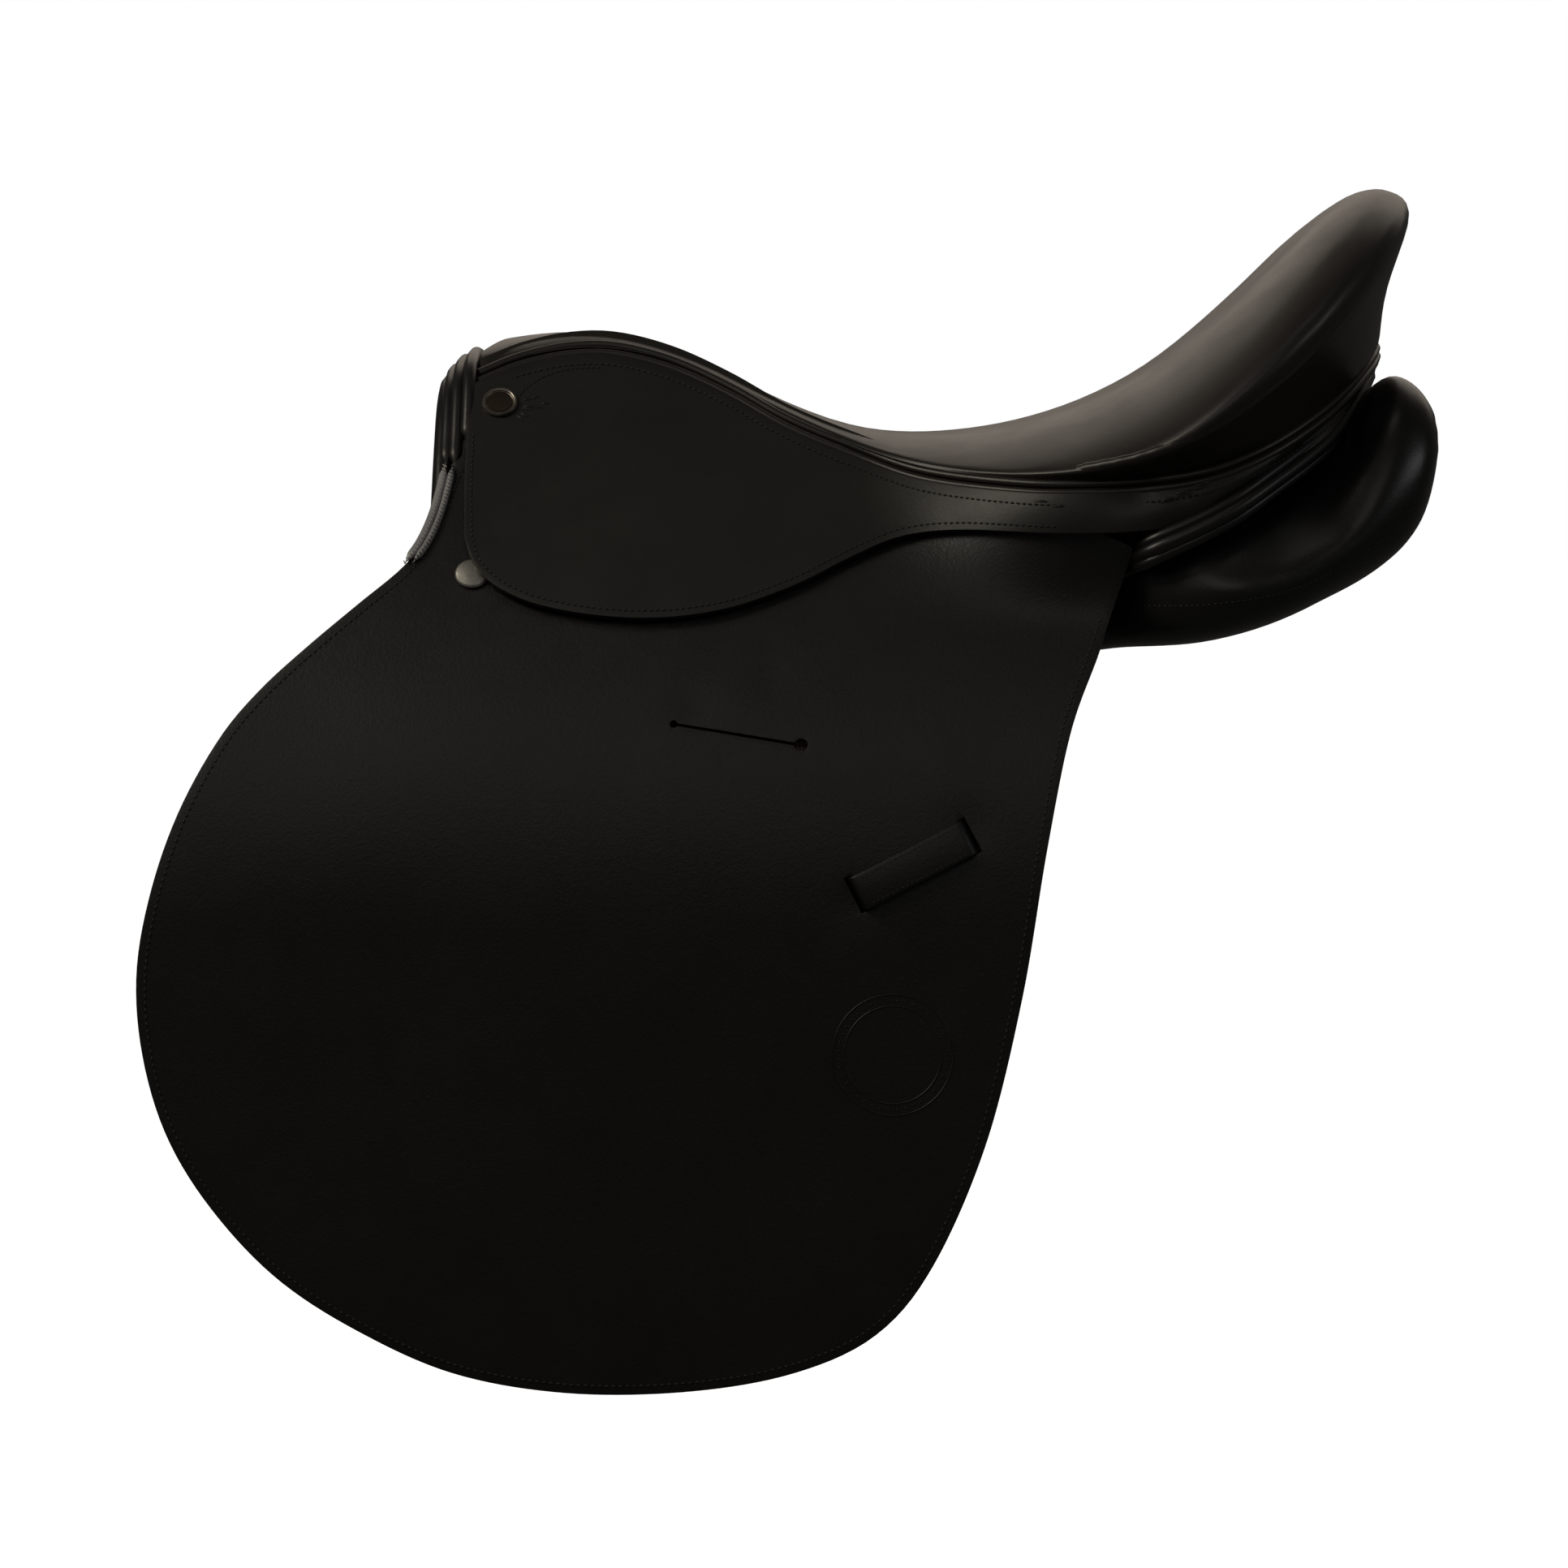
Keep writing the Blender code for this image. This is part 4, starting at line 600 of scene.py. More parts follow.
# ---- Flap --------------------------------------------------------------------------------------
FLAP_OUTLINE = [
    (-150.0, 128.0), (-155.5, 112.0), (-159.6, 98.3), (-169.1, 71.4), (-179.0, 55.5), (-199.5, 37.9),
    (-219.9, 20.5), (-240.3, 1.5), (-257.1, -19.2), (-273.7, -50.3), (-285.3, -84.8), (-291.2, -119.6),
    (-288.6, -154.5), (-278.1, -189.2), (-258.8, -220.5), (-230.7, -250.1), (-195.8, -272.7),
    (-153.8, -291.1), (-104.9, -299.4), (-52.5, -298.7), (-7.1, -290.7), (27.8, -274.4), (52.3, -244.9),
    (75.1, -192.7), (90.8, -130.1), (101.5, -67.5), (112.7, -15.8), (126.0, 18.8), (135.9, 46.7),
    (141.0, 63.0),
]
FLAP_TOP = [
    (-150.0, 128.0), (-130.0, 137.0), (-100.0, 142.0), (-70.0, 137.4), (-30.0, 120.0), (10.0, 100.0),
    (50.0, 85.5), (100.0, 80.0), (141.0, 63.0),
]
FLAP_BOTTOM_FROM, FLAP_BOTTOM_TO = 14, 22  # the outline's points where its bottom edge starts and ends
# (x, z, reach, depth) of places where the leather is pressed in
FLAP_DENTS = [
    (-50.0, -6.0, 8.0, 1.0), (-17.8, 8.0, 7.0, 0.9), (17.0, -90.0, 9.0, 0.9), (69.0, -56.0, 10.0, 1.0),
    (-225.0, -20.0, 34.0, 1.2), (-30.0, -190.0, 60.0, 1.4), (-180.0, -150.0, 70.0, 1.4),
]
SLOT = ((-59.9, -13.0), (-4.6, -22.0))
SLOT_WIDTH = 1.3
SLOT_HOLES = (1.7, 3.0)
KEEPER_MIDDLE, KEEPER_SLOPE = (43.7, -73.0), math.radians(26.9)
KEEPER_LENGTH, KEEPER_WIDTH, KEEPER_THICK, KEEPER_RISE = 55.0, 15.5, 1.8, 3.6
NOTCH_X, NOTCH_Z = (-126.0, -44.0), (50.0, 89.0)  # the opening over the stirrup bar
FLAP_BEND_Z = (34.0, 13.0)
CUT_DEPTH, SLOT_DEPTH = 24, 30  # of the cutters, well through the leather


def flap_w(x, z):
    """How far the flap's outer face stands off the side surface."""
    press = 0.0
    for dx, dz, reach, depth in FLAP_DENTS:
        press -= depth * math.exp(-((x - dx) ** 2 + (z - dz) ** 2) / reach**2)
    return press


def bend_flap(piece, sign):
    start, end = (on_side(sign, 0.0, z, 0.0) * MM for z in FLAP_BEND_Z)
    end.y = start.y
    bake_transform(piece)


def flap_edges():
    """The flap's top, bottom, front and rear edges, as (x, z) points."""
    around = dense_curve(FLAP_OUTLINE)
    start, end = FLAP_BOTTOM_FROM * CURVE_STEPS, FLAP_BOTTOM_TO * CURVE_STEPS
    return dense_curve(FLAP_TOP), around[start : end + 1], around[: start + 1], around[: end - 1 : -1]


def inset_line(points, inset, from_share, to_share, count):
    """A share of an outline moved inwards by inset, as (x, z) points."""
    line = spaced(points, count)
    line = line[int(from_share * (count - 1)) : int(to_share * (count - 1)) + 1]
    found = []
    for i, spot in enumerate(line):
        run = (line[min(i + 1, len(line) - 1)] - line[max(i - 1, 0)]).normalized()
        found.append(spot + Vector((-run.y, run.x)) * inset)
    return found


def make_flap(side, sign):
    edges = [[Vector((p.x, 0.0, p.y)) for p in e] for e in flap_edges()]

    def settle(spot, u, v):
        return on_side(sign, spot.x, spot.z, flap_w(spot.x, spot.z))

    (x0, z0), (x1, z1) = SLOT
    middle = on_side(sign, (x0 + x1) / 2, (z0 + z1) / 2, 0)
    along = on_side(sign, x1, z1, 0) - on_side(sign, x0, z0, 0)
    normal = side_normal(sign, (x0 + x1) / 2, (z0 + z1) / 2)
    cuts = [box_cutter(middle, normal, along, (along.length, SLOT_WIDTH, SLOT_DEPTH))]
    for (x, z), radius in zip(SLOT, SLOT_HOLES):
        cuts.append(hole_cutter(on_side(sign, x, z, 0), normal, radius, SLOT_DEPTH))
    direction = Vector((math.cos(KEEPER_SLOPE), math.sin(KEEPER_SLOPE)))
    for end in (-1, 1):
        x = KEEPER_MIDDLE[0] + direction.x * end * KEEPER_LENGTH / 2
        z = KEEPER_MIDDLE[1] + direction.y * end * KEEPER_LENGTH / 2
        spot = on_side(sign, x, z, 0)
        run = on_side(sign, x + direction.x, z + direction.y, 0) - spot
        slit = (KEEPER_THICK + 1.6, KEEPER_WIDTH + 1.4, CUT_DEPTH)
        cuts.append(box_cutter(spot, side_normal(sign, x, z), run, slit))
    x, z = sum(NOTCH_X) / 2, sum(NOTCH_Z) / 2
    notch = (NOTCH_X[1] - NOTCH_X[0], (NOTCH_Z[1] - NOTCH_Z[0]) / math.cos(UPPER_LEAN), CUT_DEPTH)
    cuts.append(box_cutter(on_side(sign, x, z, 0), side_normal(sign, x, z), (1, 0, 0), notch))
    name = f"{side}_flap_leather"
    flap = sheet_of(name, FLAP_LEATHER, edges, settle, FLAP_THICK, (0, sign, 0), cuts=cuts, cells=(64, 72))
    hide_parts(f"{side}_flap", f"{side}_flap_top")
    bend_flap(flap, sign)

    line = inset_line(dense_curve(FLAP_OUTLINE), 3.8, 0.03, 0.97, 420)
    path = [on_side(sign, p.x, p.y, flap_w(p.x, p.y) + 0.12) for p in line]
    normals = [side_normal(sign, p.x, p.y) for p in line]
    row = stitches(f"{side}_flap_edge_stitches", DARK_THREAD, path, normals, 3.0, 2.2, 0.52)
    bend_flap(row, sign)


def make_keeper(side, sign):
    half = KEEPER_LENGTH / 2
    x0, z0 = KEEPER_MIDDLE
    along = Vector((math.cos(KEEPER_SLOPE), math.sin(KEEPER_SLOPE)))
    across = Vector((-along.y, along.x))
    end = [(half + 5.0, -5.6), (half + 1.4, -5.2), (half + 0.4, -3.4), (half + 0.1, 0.4), (half - 0.8, 2.4)]
    end += [(half - 3.0, KEEPER_RISE), (half * 0.5, KEEPER_RISE + 0.5)]
    shape = [(-u, w) for u, w in end] + [(u, w) for u, w in reversed(end)]
    cells = (60, 8)
    dense = spaced(dense_curve(shape), cells[0] + 1)

    def at(u, w, share):
        """The point u along the strap, w off the flap, and a share of its width from its middle."""
        sag = 0.5 * (1 - (2 * share) ** 2)
        spot = along * u + across * KEEPER_WIDTH * share
        return on_side(sign, x0 + spot.x, z0 + spot.y, w + (sag if w > 0 else 0))

    edges = [[at(p.x, p.y, s) for p in dense] for s in (0.5, -0.5)]
    edges += [[at(*dense[k], s / cells[1] - 0.5) for s in range(cells[1], -1, -1)] for k in (0, -1)]

    def settle(spot, u, v):
        return at(*dense[round(u * cells[0])], 0.5 - v)

    name = f"{side}_keeper_strap"
    keeper = sheet_of(name, FLAP_LEATHER, edges, settle, KEEPER_THICK, (0, sign, 0), 0.5, cells=cells)
    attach(keeper, f"{side}_flap")
    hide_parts(f"{side}_keeper")
    for place, share in (("upper", 0.40), ("lower", -0.40)):
        path = [at(p.x, p.y + 0.1, share) for p in dense if abs(p.x) < half - 3]
        normals = [side_normal(sign, p.x, p.z) for p in path]
        row = stitches(f"{side}_keeper_{place}_stitches", DARK_THREAD, path, normals, 2.4, 1.7, 0.26)
        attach(row, f"{side}_flap")


MARK_MIDDLE = (34.9, -154.5)


def make_mark(side, sign):
    """A plain blind-tooled ring of two lines and a row of dots, with no lettering."""

    def circle(radius, w):
        path = []
        for k in range(73):
            turn = 2 * math.pi * k / 72
            x, z = MARK_MIDDLE[0] + radius * math.cos(turn), MARK_MIDDLE[1] + radius * math.sin(turn)
            path.append(on_side(sign, x, z, flap_w(x, z) + w))
        return path

    for place, radius in (("outer", 26.0), ("inner", 21.0)):
        ring = piping(f"{side}_tooled_{place}_ring", FLAP_LEATHER, circle(radius, -0.15), 0.45, 2)
        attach(ring, f"{side}_flap")
    normals = [side_normal(sign, *MARK_MIDDLE)] * 2
    dots = stitches(f"{side}_tooled_dots", FLAP_LEATHER, circle(23.5, 0.0), normals, 3.7, 1.1, 0.5)
    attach(dots, f"{side}_flap")


# ---- Skirt -------------------------------------------------------------------------------------
SKIRT_FRONT = [(-156.0, 133.0), (-155.0, 122.0), (-154.5, 111.0), (-154.3, 89.3), (-153.2, 68.0)]
SKIRT_LOWER = [
    (-153.2, 68.0), (-150.3, 59.0), (-145.2, 51.8), (-136.0, 44.8), (-119.1, 38.1), (-92.3, 33.5),
    (-63.9, 32.8), (-35.5, 37.0), (-7.0, 46.8), (18.1, 59.1), (39.7, 67.8), (64.9, 70.7), (108.0, 69.3),
    (145.3, 70.5), (170.4, 75.4), (200.1, 94.0), (232.6, 119.5), (250.0, 136.0), (258.6, 149.0),
]
SKIRT_REAR_Y = [(138.0, 139.0), (170.4, 137.5), (200.1, 124.0), (232.6, 92.0), (250.0, 55.0), (258.6, 2.0)]
SKIRT_DROP = 2.0  # of its top edge under the welt
SKIRT_TURN = (112, 146)  # x range where the skirt leaves the side surface and turns toward the cantle
SKIRT_HINGE = (0.9686, 0.1540, -0.1951)  # the direction of a hinge line for the skirt; nothing is bent on it
TOP_POINTS = 159
SKIRT_DENTS = [(-108.0, 120.0, 16.0, 0.7), (-60.0, 88.0, 34.0, -0.8), (70.0, 80.0, 30.0, 0.5)]


def skirt_settle(sign):
    """The skirt's outer surface: given a point, settle returns where the leather lies."""
    def settle(spot, u, v):
        x, z = spot.x, spot.z
        press = SKIRT_OUTER
        for dx, dz, reach, depth in SKIRT_DENTS:
            press -= depth * math.exp(-((x - dx) ** 2 + (z - dz) ** 2) / reach**2)
        flat = side_y(x, z) + press
        share = smoothstep(*SKIRT_TURN, x)
        swell = 2.0 * math.sin(math.pi * v) * share
        return Vector((x, sign * (flat * (1 - share) + (abs(spot.y) + swell) * share), z))

    return settle


def skirt_edges(sign):
    front = [on_side(sign, *p, SKIRT_OUTER) for p in dense_curve(SKIRT_FRONT)]
    lower = []
    for p in dense_curve(SKIRT_LOWER):
        y = side_y(p.x, p.y) + SKIRT_OUTER
        share = smoothstep(*SKIRT_TURN, p.x)
        lower.append(Vector((p.x, sign * (y * (1 - share) + lookup(SKIRT_REAR_Y, p.x) * share), p.y)))
    start = SKIRT_FRONT[0][0]
    top = [on_side(sign, *SKIRT_FRONT[0], SKIRT_OUTER)]
    for i in range(1, TOP_POINTS + 1):
        x = start + (WELT[-1][0] - start) * (i / TOP_POINTS) ** 0.9
        top.append(welt_point(sign, min(x, WELT_REAR_X), SKIRT_DROP, 2.2))
    top[-1].y = sign * 1.0
    return top, lower, front, [top[-1], lower[-1]]


def bend_skirt(piece, sign):
    axis = Vector((SKIRT_HINGE[0], sign * SKIRT_HINGE[1], SKIRT_HINGE[2]))
    down = Vector((0, sign * math.sin(UPPER_LEAN), -math.cos(UPPER_LEAN)))
    down = (down - axis * down.dot(axis)).normalized()
    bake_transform(piece)


def make_skirt(side, sign):
    edges = skirt_edges(sign)
    settle = skirt_settle(sign)
    name, outward = f"{side}_skirt_leather", (0, sign, 0.4)
    skirt = sheet_of(name, SKIRT_LEATHER, edges, settle, SKIRT_THICK, outward, 0.8, cells=(110, 30))
    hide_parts(f"{side}_skirt", f"{side}_skirt_top")
    bend_skirt(skirt, sign)

    outline = dense_curve(SKIRT_FRONT)[:-1] + dense_curve(SKIRT_LOWER)
    path, normals = [], []
    for p in inset_line(outline, 3.0, 0.04, 0.66, 320):
        spot = settle(Vector((p.x, 0, p.y)), 0, 0)
        path.append(spot + side_normal(sign, p.x, p.y) * 0.12)
        normals.append(side_normal(sign, p.x, p.y))
    row = stitches(f"{side}_skirt_edge_stitches", DARK_THREAD, path, normals, 2.8, 2.1, 0.5)
    bend_skirt(row, sign)
    path, normals = [], []
    for spot in edges[0][6:150]:
        low = welt_point(sign, spot.x, 7.0)
        if spot.x < SKIRT_TURN[0]:
            low = settle(low, 0, 0)
        else:
            low.y += sign * 2.6
        normals.append(side_normal(sign, min(spot.x, WELT_LEAVES[0]), low.z))
        path.append(low + normals[-1] * 0.15)
    row = stitches(f"{side}_skirt_top_stitches", DARK_THREAD, path, normals, 2.8, 2.1, 0.5)
    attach(row, "saddle")


NAIL_CREASE = [(-131.6, 130.0), (-127.0, 135.0), (-118.0, 140.0), (-107.0, 142.6), (-95.0, 143.0)]
# (x, z, direction in degrees, length) of fine wrinkles in the worn leather
WRINKLES = [
    (-131.0, 127.6, 8, 7.0), (-130.6, 126.2, -6, 9.0), (-131.0, 124.8, -16, 8.0), (-131.6, 123.4, -28, 7.0),
    (-126.0, 125.0, -8, 6.0), (-127.0, 129.0, 16, 6.0), (-133.0, 121.6, -42, 5.0), (-122.0, 127.0, 4, 5.0),
    (112.0, 84.0, 4, 10.0), (120.0, 83.0, 8, 9.0), (118.0, 81.4, 2, 12.0), (128.0, 84.0, 10, 8.0),
    (96.0, 83.0, -2, 9.0), (104.0, 81.4, 3, 8.0), (158.0, 86.0, 14, 10.0), (166.0, 90.0, 20, 9.0),
    (152.0, 83.4, 10, 8.0),
]


def make_worn_marks(side, sign):
    """The stitched crease that runs from the nail into the top seam, and the fine wrinkles near it."""
    settle = skirt_settle(sign)

    def spot_at(x, z, w):
        edge = WELT_LEAVES[0]
        y = lookup(SKIRT_REAR_Y, x) + 3.0 if x > edge else 0.0
        return settle(Vector((x, sign * y, z)), 0, 0) + side_normal(sign, min(x, edge), z) * w

    line = curve(NAIL_CREASE, 40)
    path = [spot_at(p.x, p.y, 0.15) for p in line]
    normals = [side_normal(sign, p.x, p.y) for p in line]
    row = stitches(f"{side}_nail_crease_stitches", DARK_THREAD, path, normals, 2.3, 1.9, 0.4)
    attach(row, "saddle")
    folds = []
    for k, (x, z, degrees, length) in enumerate(WRINKLES, 1):
        turn = math.radians(degrees)
        path = []
        for i in range(9):
            u = i / 8
            bow = 0.5 * math.sin(math.pi * u) * (1 if k % 2 else -1)
            along = length * u
            px = x + along * math.cos(turn) - bow * math.sin(turn)
            pz = z + along * math.sin(turn) + bow * math.cos(turn)
            path.append(spot_at(px, pz, 0.35 * math.sin(math.pi * u) - 0.45))
        folds.append(path)
    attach(piping(f"{side}_skirt_wrinkles", FACING_LEATHER, folds, 0.55, 2, 0.3), "saddle")


# ---- Seat and piping ---------------------------------------------------------------------------
CANTLE_FULLNESS = ((150.0, 235.0), 2.6)  # where the seat swells toward the cantle, and by how much
SEAT_RIDGE = [
    (248.0, 184.0), (244.0, 177.0), (232.0, 161.0), (218.0, 146.5), (203.0, 133.5), (181.0, 118.0),
    (160.0, 107.0), (140.0, 100.0), (116.0, 95.5),
]
GUSSET_THICK, GUSSET_ROUNDING = 1.6, 0.4
REAR_GUSSET_X = 134.0  # where the wall above the panel starts


def laid_on(piece, sign, line, count):
    """A path where a line of (x, z) points, seen from the side, lies on the piece, with its normals."""
    faces = [tuple(p.vertices) for p in piece.data.polygons]
    tree = BVHTree.FromPolygons([v.co for v in piece.data.vertices], faces)
    path, normals = [], []
    for p in curve(line, count):
        spot, normal, _, _ = tree.ray_cast(Vector((p.x, sign * 400, p.y)) * MM, Vector((0, -sign, 0)))
        if spot:
            path.append(spot / MM)
            normals.append(normal)
    return path, normals


def make_seat():
    seat = rounded_copy("seat_cover", "seat_leather_top", SEAT_LEATHER)
    reach, fullness = CANTLE_FULLNESS
    for vertex in seat.data.vertices:
        share = smoothstep(*reach, vertex.co.x / MM)
        vertex.co += vertex.normal * (fullness * share * MM)
    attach(seat, "saddle")
    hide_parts("seat_cover")
    for side, sign in SIDES.items():
        path, normals = laid_on(seat, sign, SEAT_RIDGE, 90)
        sunk = []
        for i, (spot, normal) in enumerate(zip(path, normals)):
            from_middle = 2 * i / len(path) - 1
            sunk.append(spot - normal * (2.1 + 0.9 * from_middle**2))
        ridge = piping(f"{side}_seat_seam", SEAT_LEATHER, sunk, 2.8, 6)
        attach(ridge, "saddle")


def along_welt(sign, start, count, drop, out):
    """A line of count + 1 points from x = start to the welt's rear end."""
    return [
        welt_point(sign, start + (WELT_REAR_X - start) * (i / count), drop, out) for i in range(count + 1)
    ]


def gusset(name, finish, top, bottom, outward, cells):
    """A thin leather wall between two lines that end in the middle of the cantle."""
    top[-1].y = bottom[-1].y = 0.0
    edges = [top, bottom, [top[0], bottom[0]], [top[-1], bottom[-1]]]
    wall = sheet_of(name, finish, edges, as_laid, GUSSET_THICK, outward, GUSSET_ROUNDING, cells=cells)
    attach(wall, "saddle")
    return wall


def make_gusset(side, sign):
    """The leather wall inside the piping, and the one from the cantle down to the panel's rear."""
    top, bottom = (along_welt(sign, WELT_FRONT_X, 120, drop, -4.2) for drop in (-9.0, 11.0))
    wall = gusset(f"{side}_seat_gusset", SEAT_LEATHER, top, bottom, (0, sign, 0.2), (110, 4))
    top = along_welt(sign, REAR_GUSSET_X, 60, 1.0, -5.5)
    bottom = [Vector((p.x - 1.0, sign * max(p.y - 3.0, 0.0), p.z)) for p in dense_curve(REAR_BAND)]
    wall = gusset(f"{side}_rear_gusset", PANEL_LEATHER, top, bottom, (0.3, sign, 0), (60, 12))


def make_piping(side, sign):
    for place, drop, out, radius in (("upper", -1.9, -0.4, 2.2), ("lower", 1.9, 1.0, 2.0)):
        path = along_welt(sign, WELT_FRONT_X, 150, drop, out)
        path[-1].y = sign * 0.6
        cord = piping(f"{side}_{place}_seat_piping", SEAT_LEATHER, path, radius)
        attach(cord, "saddle")
        if place == "upper":
            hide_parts(f"{side}_seat_welt")


# ---- Panels, facings and head ------------------------------------------------------------------
# The stuffed rear end of a panel grows out from its middle, and its top rises
PANEL_MIDDLE, PANEL_GROWTH, PANEL_GROWS_X = (232, 88, 84), (0.03, 0.05, 0.10), (222, 262)
PANEL_RISE, PANEL_RISES_X, PANEL_RISES_Z = 10.5, (190, 246), (62, 112)
PANEL_SEAM = [(145.4, 37.2), (176.8, 38.5), (212.6, 45.4), (249.8, 64.6), (270.0, 87.0)]


def make_panel(side, sign):
    panel = rounded_copy(f"{side}_panel", f"{side}_stuffed_panel", PANEL_LEATHER)
    middle = Vector((PANEL_MIDDLE[0], sign * PANEL_MIDDLE[1], PANEL_MIDDLE[2]))
    for vertex in panel.data.vertices:
        x, z = vertex.co.x / MM, vertex.co.z / MM
        away = (vertex.co / MM - middle) * smoothstep(*PANEL_GROWS_X, x)
        vertex.co += away * Vector(PANEL_GROWTH) * MM
        vertex.co.z += PANEL_RISE * smoothstep(*PANEL_RISES_X, x) * smoothstep(*PANEL_RISES_Z, z) * MM
    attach(panel, "saddle")
    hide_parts(f"{side}_panel")
    path, normals = laid_on(panel, sign, PANEL_SEAM, 90)
    row = stitches(f"{side}_panel_seam_stitches", PANEL_LEATHER, path, normals, 2.6, 1.9, 0.35)
    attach(row, "saddle")
    roll = rounded_copy(f"{side}_knee_roll", f"{side}_stuffed_knee_roll", PANEL_LEATHER)
    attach(roll, "saddle")
    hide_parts(f"{side}_knee_roll")


SWEAT_TOP = [(-170.0, 44.0), (-60.0, 46.0), (40.0, 46.0), (112.0, 22.0)]
SWEAT_FRONT = [(-170.0, 44.0), (-236.0, -20.0), (-264.0, -84.0), (-269.0, -150.0), (-244.0, -208.0)]
SWEAT_BOTTOM = [(-244.0, -208.0), (-180.0, -256.0), (-100.0, -278.0), (-10.0, -272.0), (38.0, -236.0)]
SWEAT_REAR = [(112.0, 22.0), (90.0, -60.0), (72.0, -150.0), (38.0, -236.0)]
SWEAT_OUTER, SWEAT_THICK = -18.4, 2.4


def make_sweat_flap(side, sign):
    edges = [
        [Vector((p.x, 0, p.y)) for p in dense_curve(line)]
        for line in (SWEAT_TOP, SWEAT_BOTTOM, SWEAT_FRONT, SWEAT_REAR)
    ]

    def settle(spot, u, v):
        return on_side(sign, spot.x, spot.z, SWEAT_OUTER)

    name, outward = f"{side}_sweat_flap_leather", (0, sign, 0)
    piece = sheet_of(name, STRAP_LEATHER, edges, settle, SWEAT_THICK, outward, 0.7, cells=(40, 40))
    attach(piece, "saddle")
    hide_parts(f"{side}_sweat_flap")
    front, bottom, rear = (dense_curve(line) for line in (SWEAT_FRONT, SWEAT_BOTTOM, SWEAT_REAR))
    line = inset_line(front[:-1] + bottom[:-1] + rear[::-1], 4.0, 0.02, 0.98, 260)
    normals = [side_normal(sign, p.x, p.y) for p in line]
    for face, w in (("outer", SWEAT_OUTER + 0.1), ("inner", SWEAT_OUTER - SWEAT_THICK - 0.1)):
        path = [on_side(sign, p.x, p.y, w) for p in line]
        row = stitches(f"{side}_sweat_{face}_stitches", PALE_THREAD, path, normals, 3.6, 2.4, 0.36)
        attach(row, "saddle")


BAND_CENTRE_X = 100  # the rear band's cords stand out from here
# (half width, z) of the head's arch; with no half width it follows the side surface
FACING_ARCH = [(None, 60.0), (None, 85.0), (None, 106.0), (50.0, 124.0), (28.0, 134.0), (0.0, 137.5)]
REAR_BAND = [
    (122.0, side_y(122.0, 50.0) - 12.0, 50.0), (138.0, side_y(138.0, 56.0) - 9.5, 56.0),
    (150.0, 138.5, 62.0), (177.5, 137.0, 75.0), (199.7, 125.5, 89.0), (230.4, 97.0, 111.0),
    (247.0, 66.0, 132.0), (255.5, 30.0, 146.0), (258.5, 0.0, 151.0),
]


def both_sides(half, count):
    """A line from the left foot to the middle, carried on to the right foot."""
    mirrored = [Vector((p.x, -p.y, p.z)) for p in half]
    return spaced(mirrored + half[-2::-1], count)


def arch_path(x, w, lift, foot):
    """A path from the left foot of the head's arch over its crown to the right foot."""
    half = [(side_y(x, foot) + w, foot)]
    for y, z in FACING_ARCH:
        if y is not None:
            half.append((y + lift * 0.4, z + lift))
        elif z > foot + 8:
            half.append((side_y(x, z) + w, z))
    return both_sides([Vector((x, p.x, p.y)) for p in dense_curve(half)], 90)


def make_head():
    """The bands at the front: the panel's facing, the head's folded strips and their piping."""
    for name, finish, x, w, lift, foot, radius in (
        ("panel_front_roll", PANEL_LEATHER, -165.6, -9.0, 0.0, 64.0, 4.4),
        ("head_outer_piping", FACING_LEATHER, -163.6, -4.6, 5.5, 97.0, 3.2),
        ("head_middle_piping", FACING_LEATHER, -159.4, -1.8, 9.6, 97.0, 3.3),
        ("head_inner_piping", FACING_LEATHER, -154.4, 0.6, 12.8, 108.0, 3.3),
    ):
        piece = piping(name, finish, arch_path(x, w, lift, foot), radius, 5, 0.04)
        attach(piece, "saddle")
        if name == "panel_front_roll":
            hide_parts("pommel_facing")


RIDGE_LINE = [(-163.6, 99.5), (-165.6, 88.0), (-168.6, 76.0), (-173.2, 65.0), (-179.6, 55.5)]
INNER_RIDGE = 3.5  # how far the inner ridge lies behind the outer one
WHIP_PITCH, WHIP_RADIUS, WHIP_SLANT = 2.0, 0.38, math.radians(62)


def make_whipped_ridge(side, sign):
    """The rolled, whip-stitched edge where the facing meets the front of the flap."""

    def laid(shift, w):
        return [on_side(sign, p.x + shift, p.y, w) for p in curve(RIDGE_LINE, 50)]

    # The ridges' pale finish is partly their own tone and partly a painted highlight.
    for place, shift, w, radius in (("outer", 0.0, 1.6, 1.9), ("inner", INNER_RIDGE, 1.8, 1.5)):
        name = f"{side}_whipped_{place}_ridge"
        piece = piping(name, RIDGE_LEATHER_PAINTED_HIGHLIGHT, laid(shift, w), radius, 4, 0.12)
        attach(piece, "saddle")
    for place, shift, w, finish, length in (
        ("pale", 0.0, 3.6, PALE_THREAD, 3.0),
        ("dark", INNER_RIDGE, 3.35, DARK_THREAD, 2.4),
    ):
        path = laid(shift, w)
        normals = [side_normal(sign, p.x, p.z) for p in path]
        name = f"{side}_{place}_whip_stitches"
        row = stitches(name, finish, path, normals, WHIP_PITCH, length, WHIP_RADIUS, WHIP_SLANT)
        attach(row, "saddle")


def make_rear_band():
    """The piped strip that joins the panels' rear to the cantle."""
    path = both_sides(dense_curve(REAR_BAND), 140)
    for name, rise, out, radius in (
        ("rear_band_upper", 5.0, -0.4, 2.6),
        ("rear_band_middle", 0.6, 1.0, 3.4),
        ("rear_band_lower", -4.0, 0.2, 2.6),
    ):
        line = []
        for p in path:
            away = Vector((p.x - BAND_CENTRE_X, p.y * 1.2, 0)).normalized()
            line.append(p + Vector((0, 0, rise)) + away * out)
        piece = piping(name, FACING_LEATHER, line, radius, 5)
        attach(piece, "saddle")
        if name == "rear_band_middle":
            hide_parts("rear_facing")


# ---- Fittings ----------------------------------------------------------------------------------
NAIL, STUD = (-140.1, 126.8), (-149.4, 50.9)
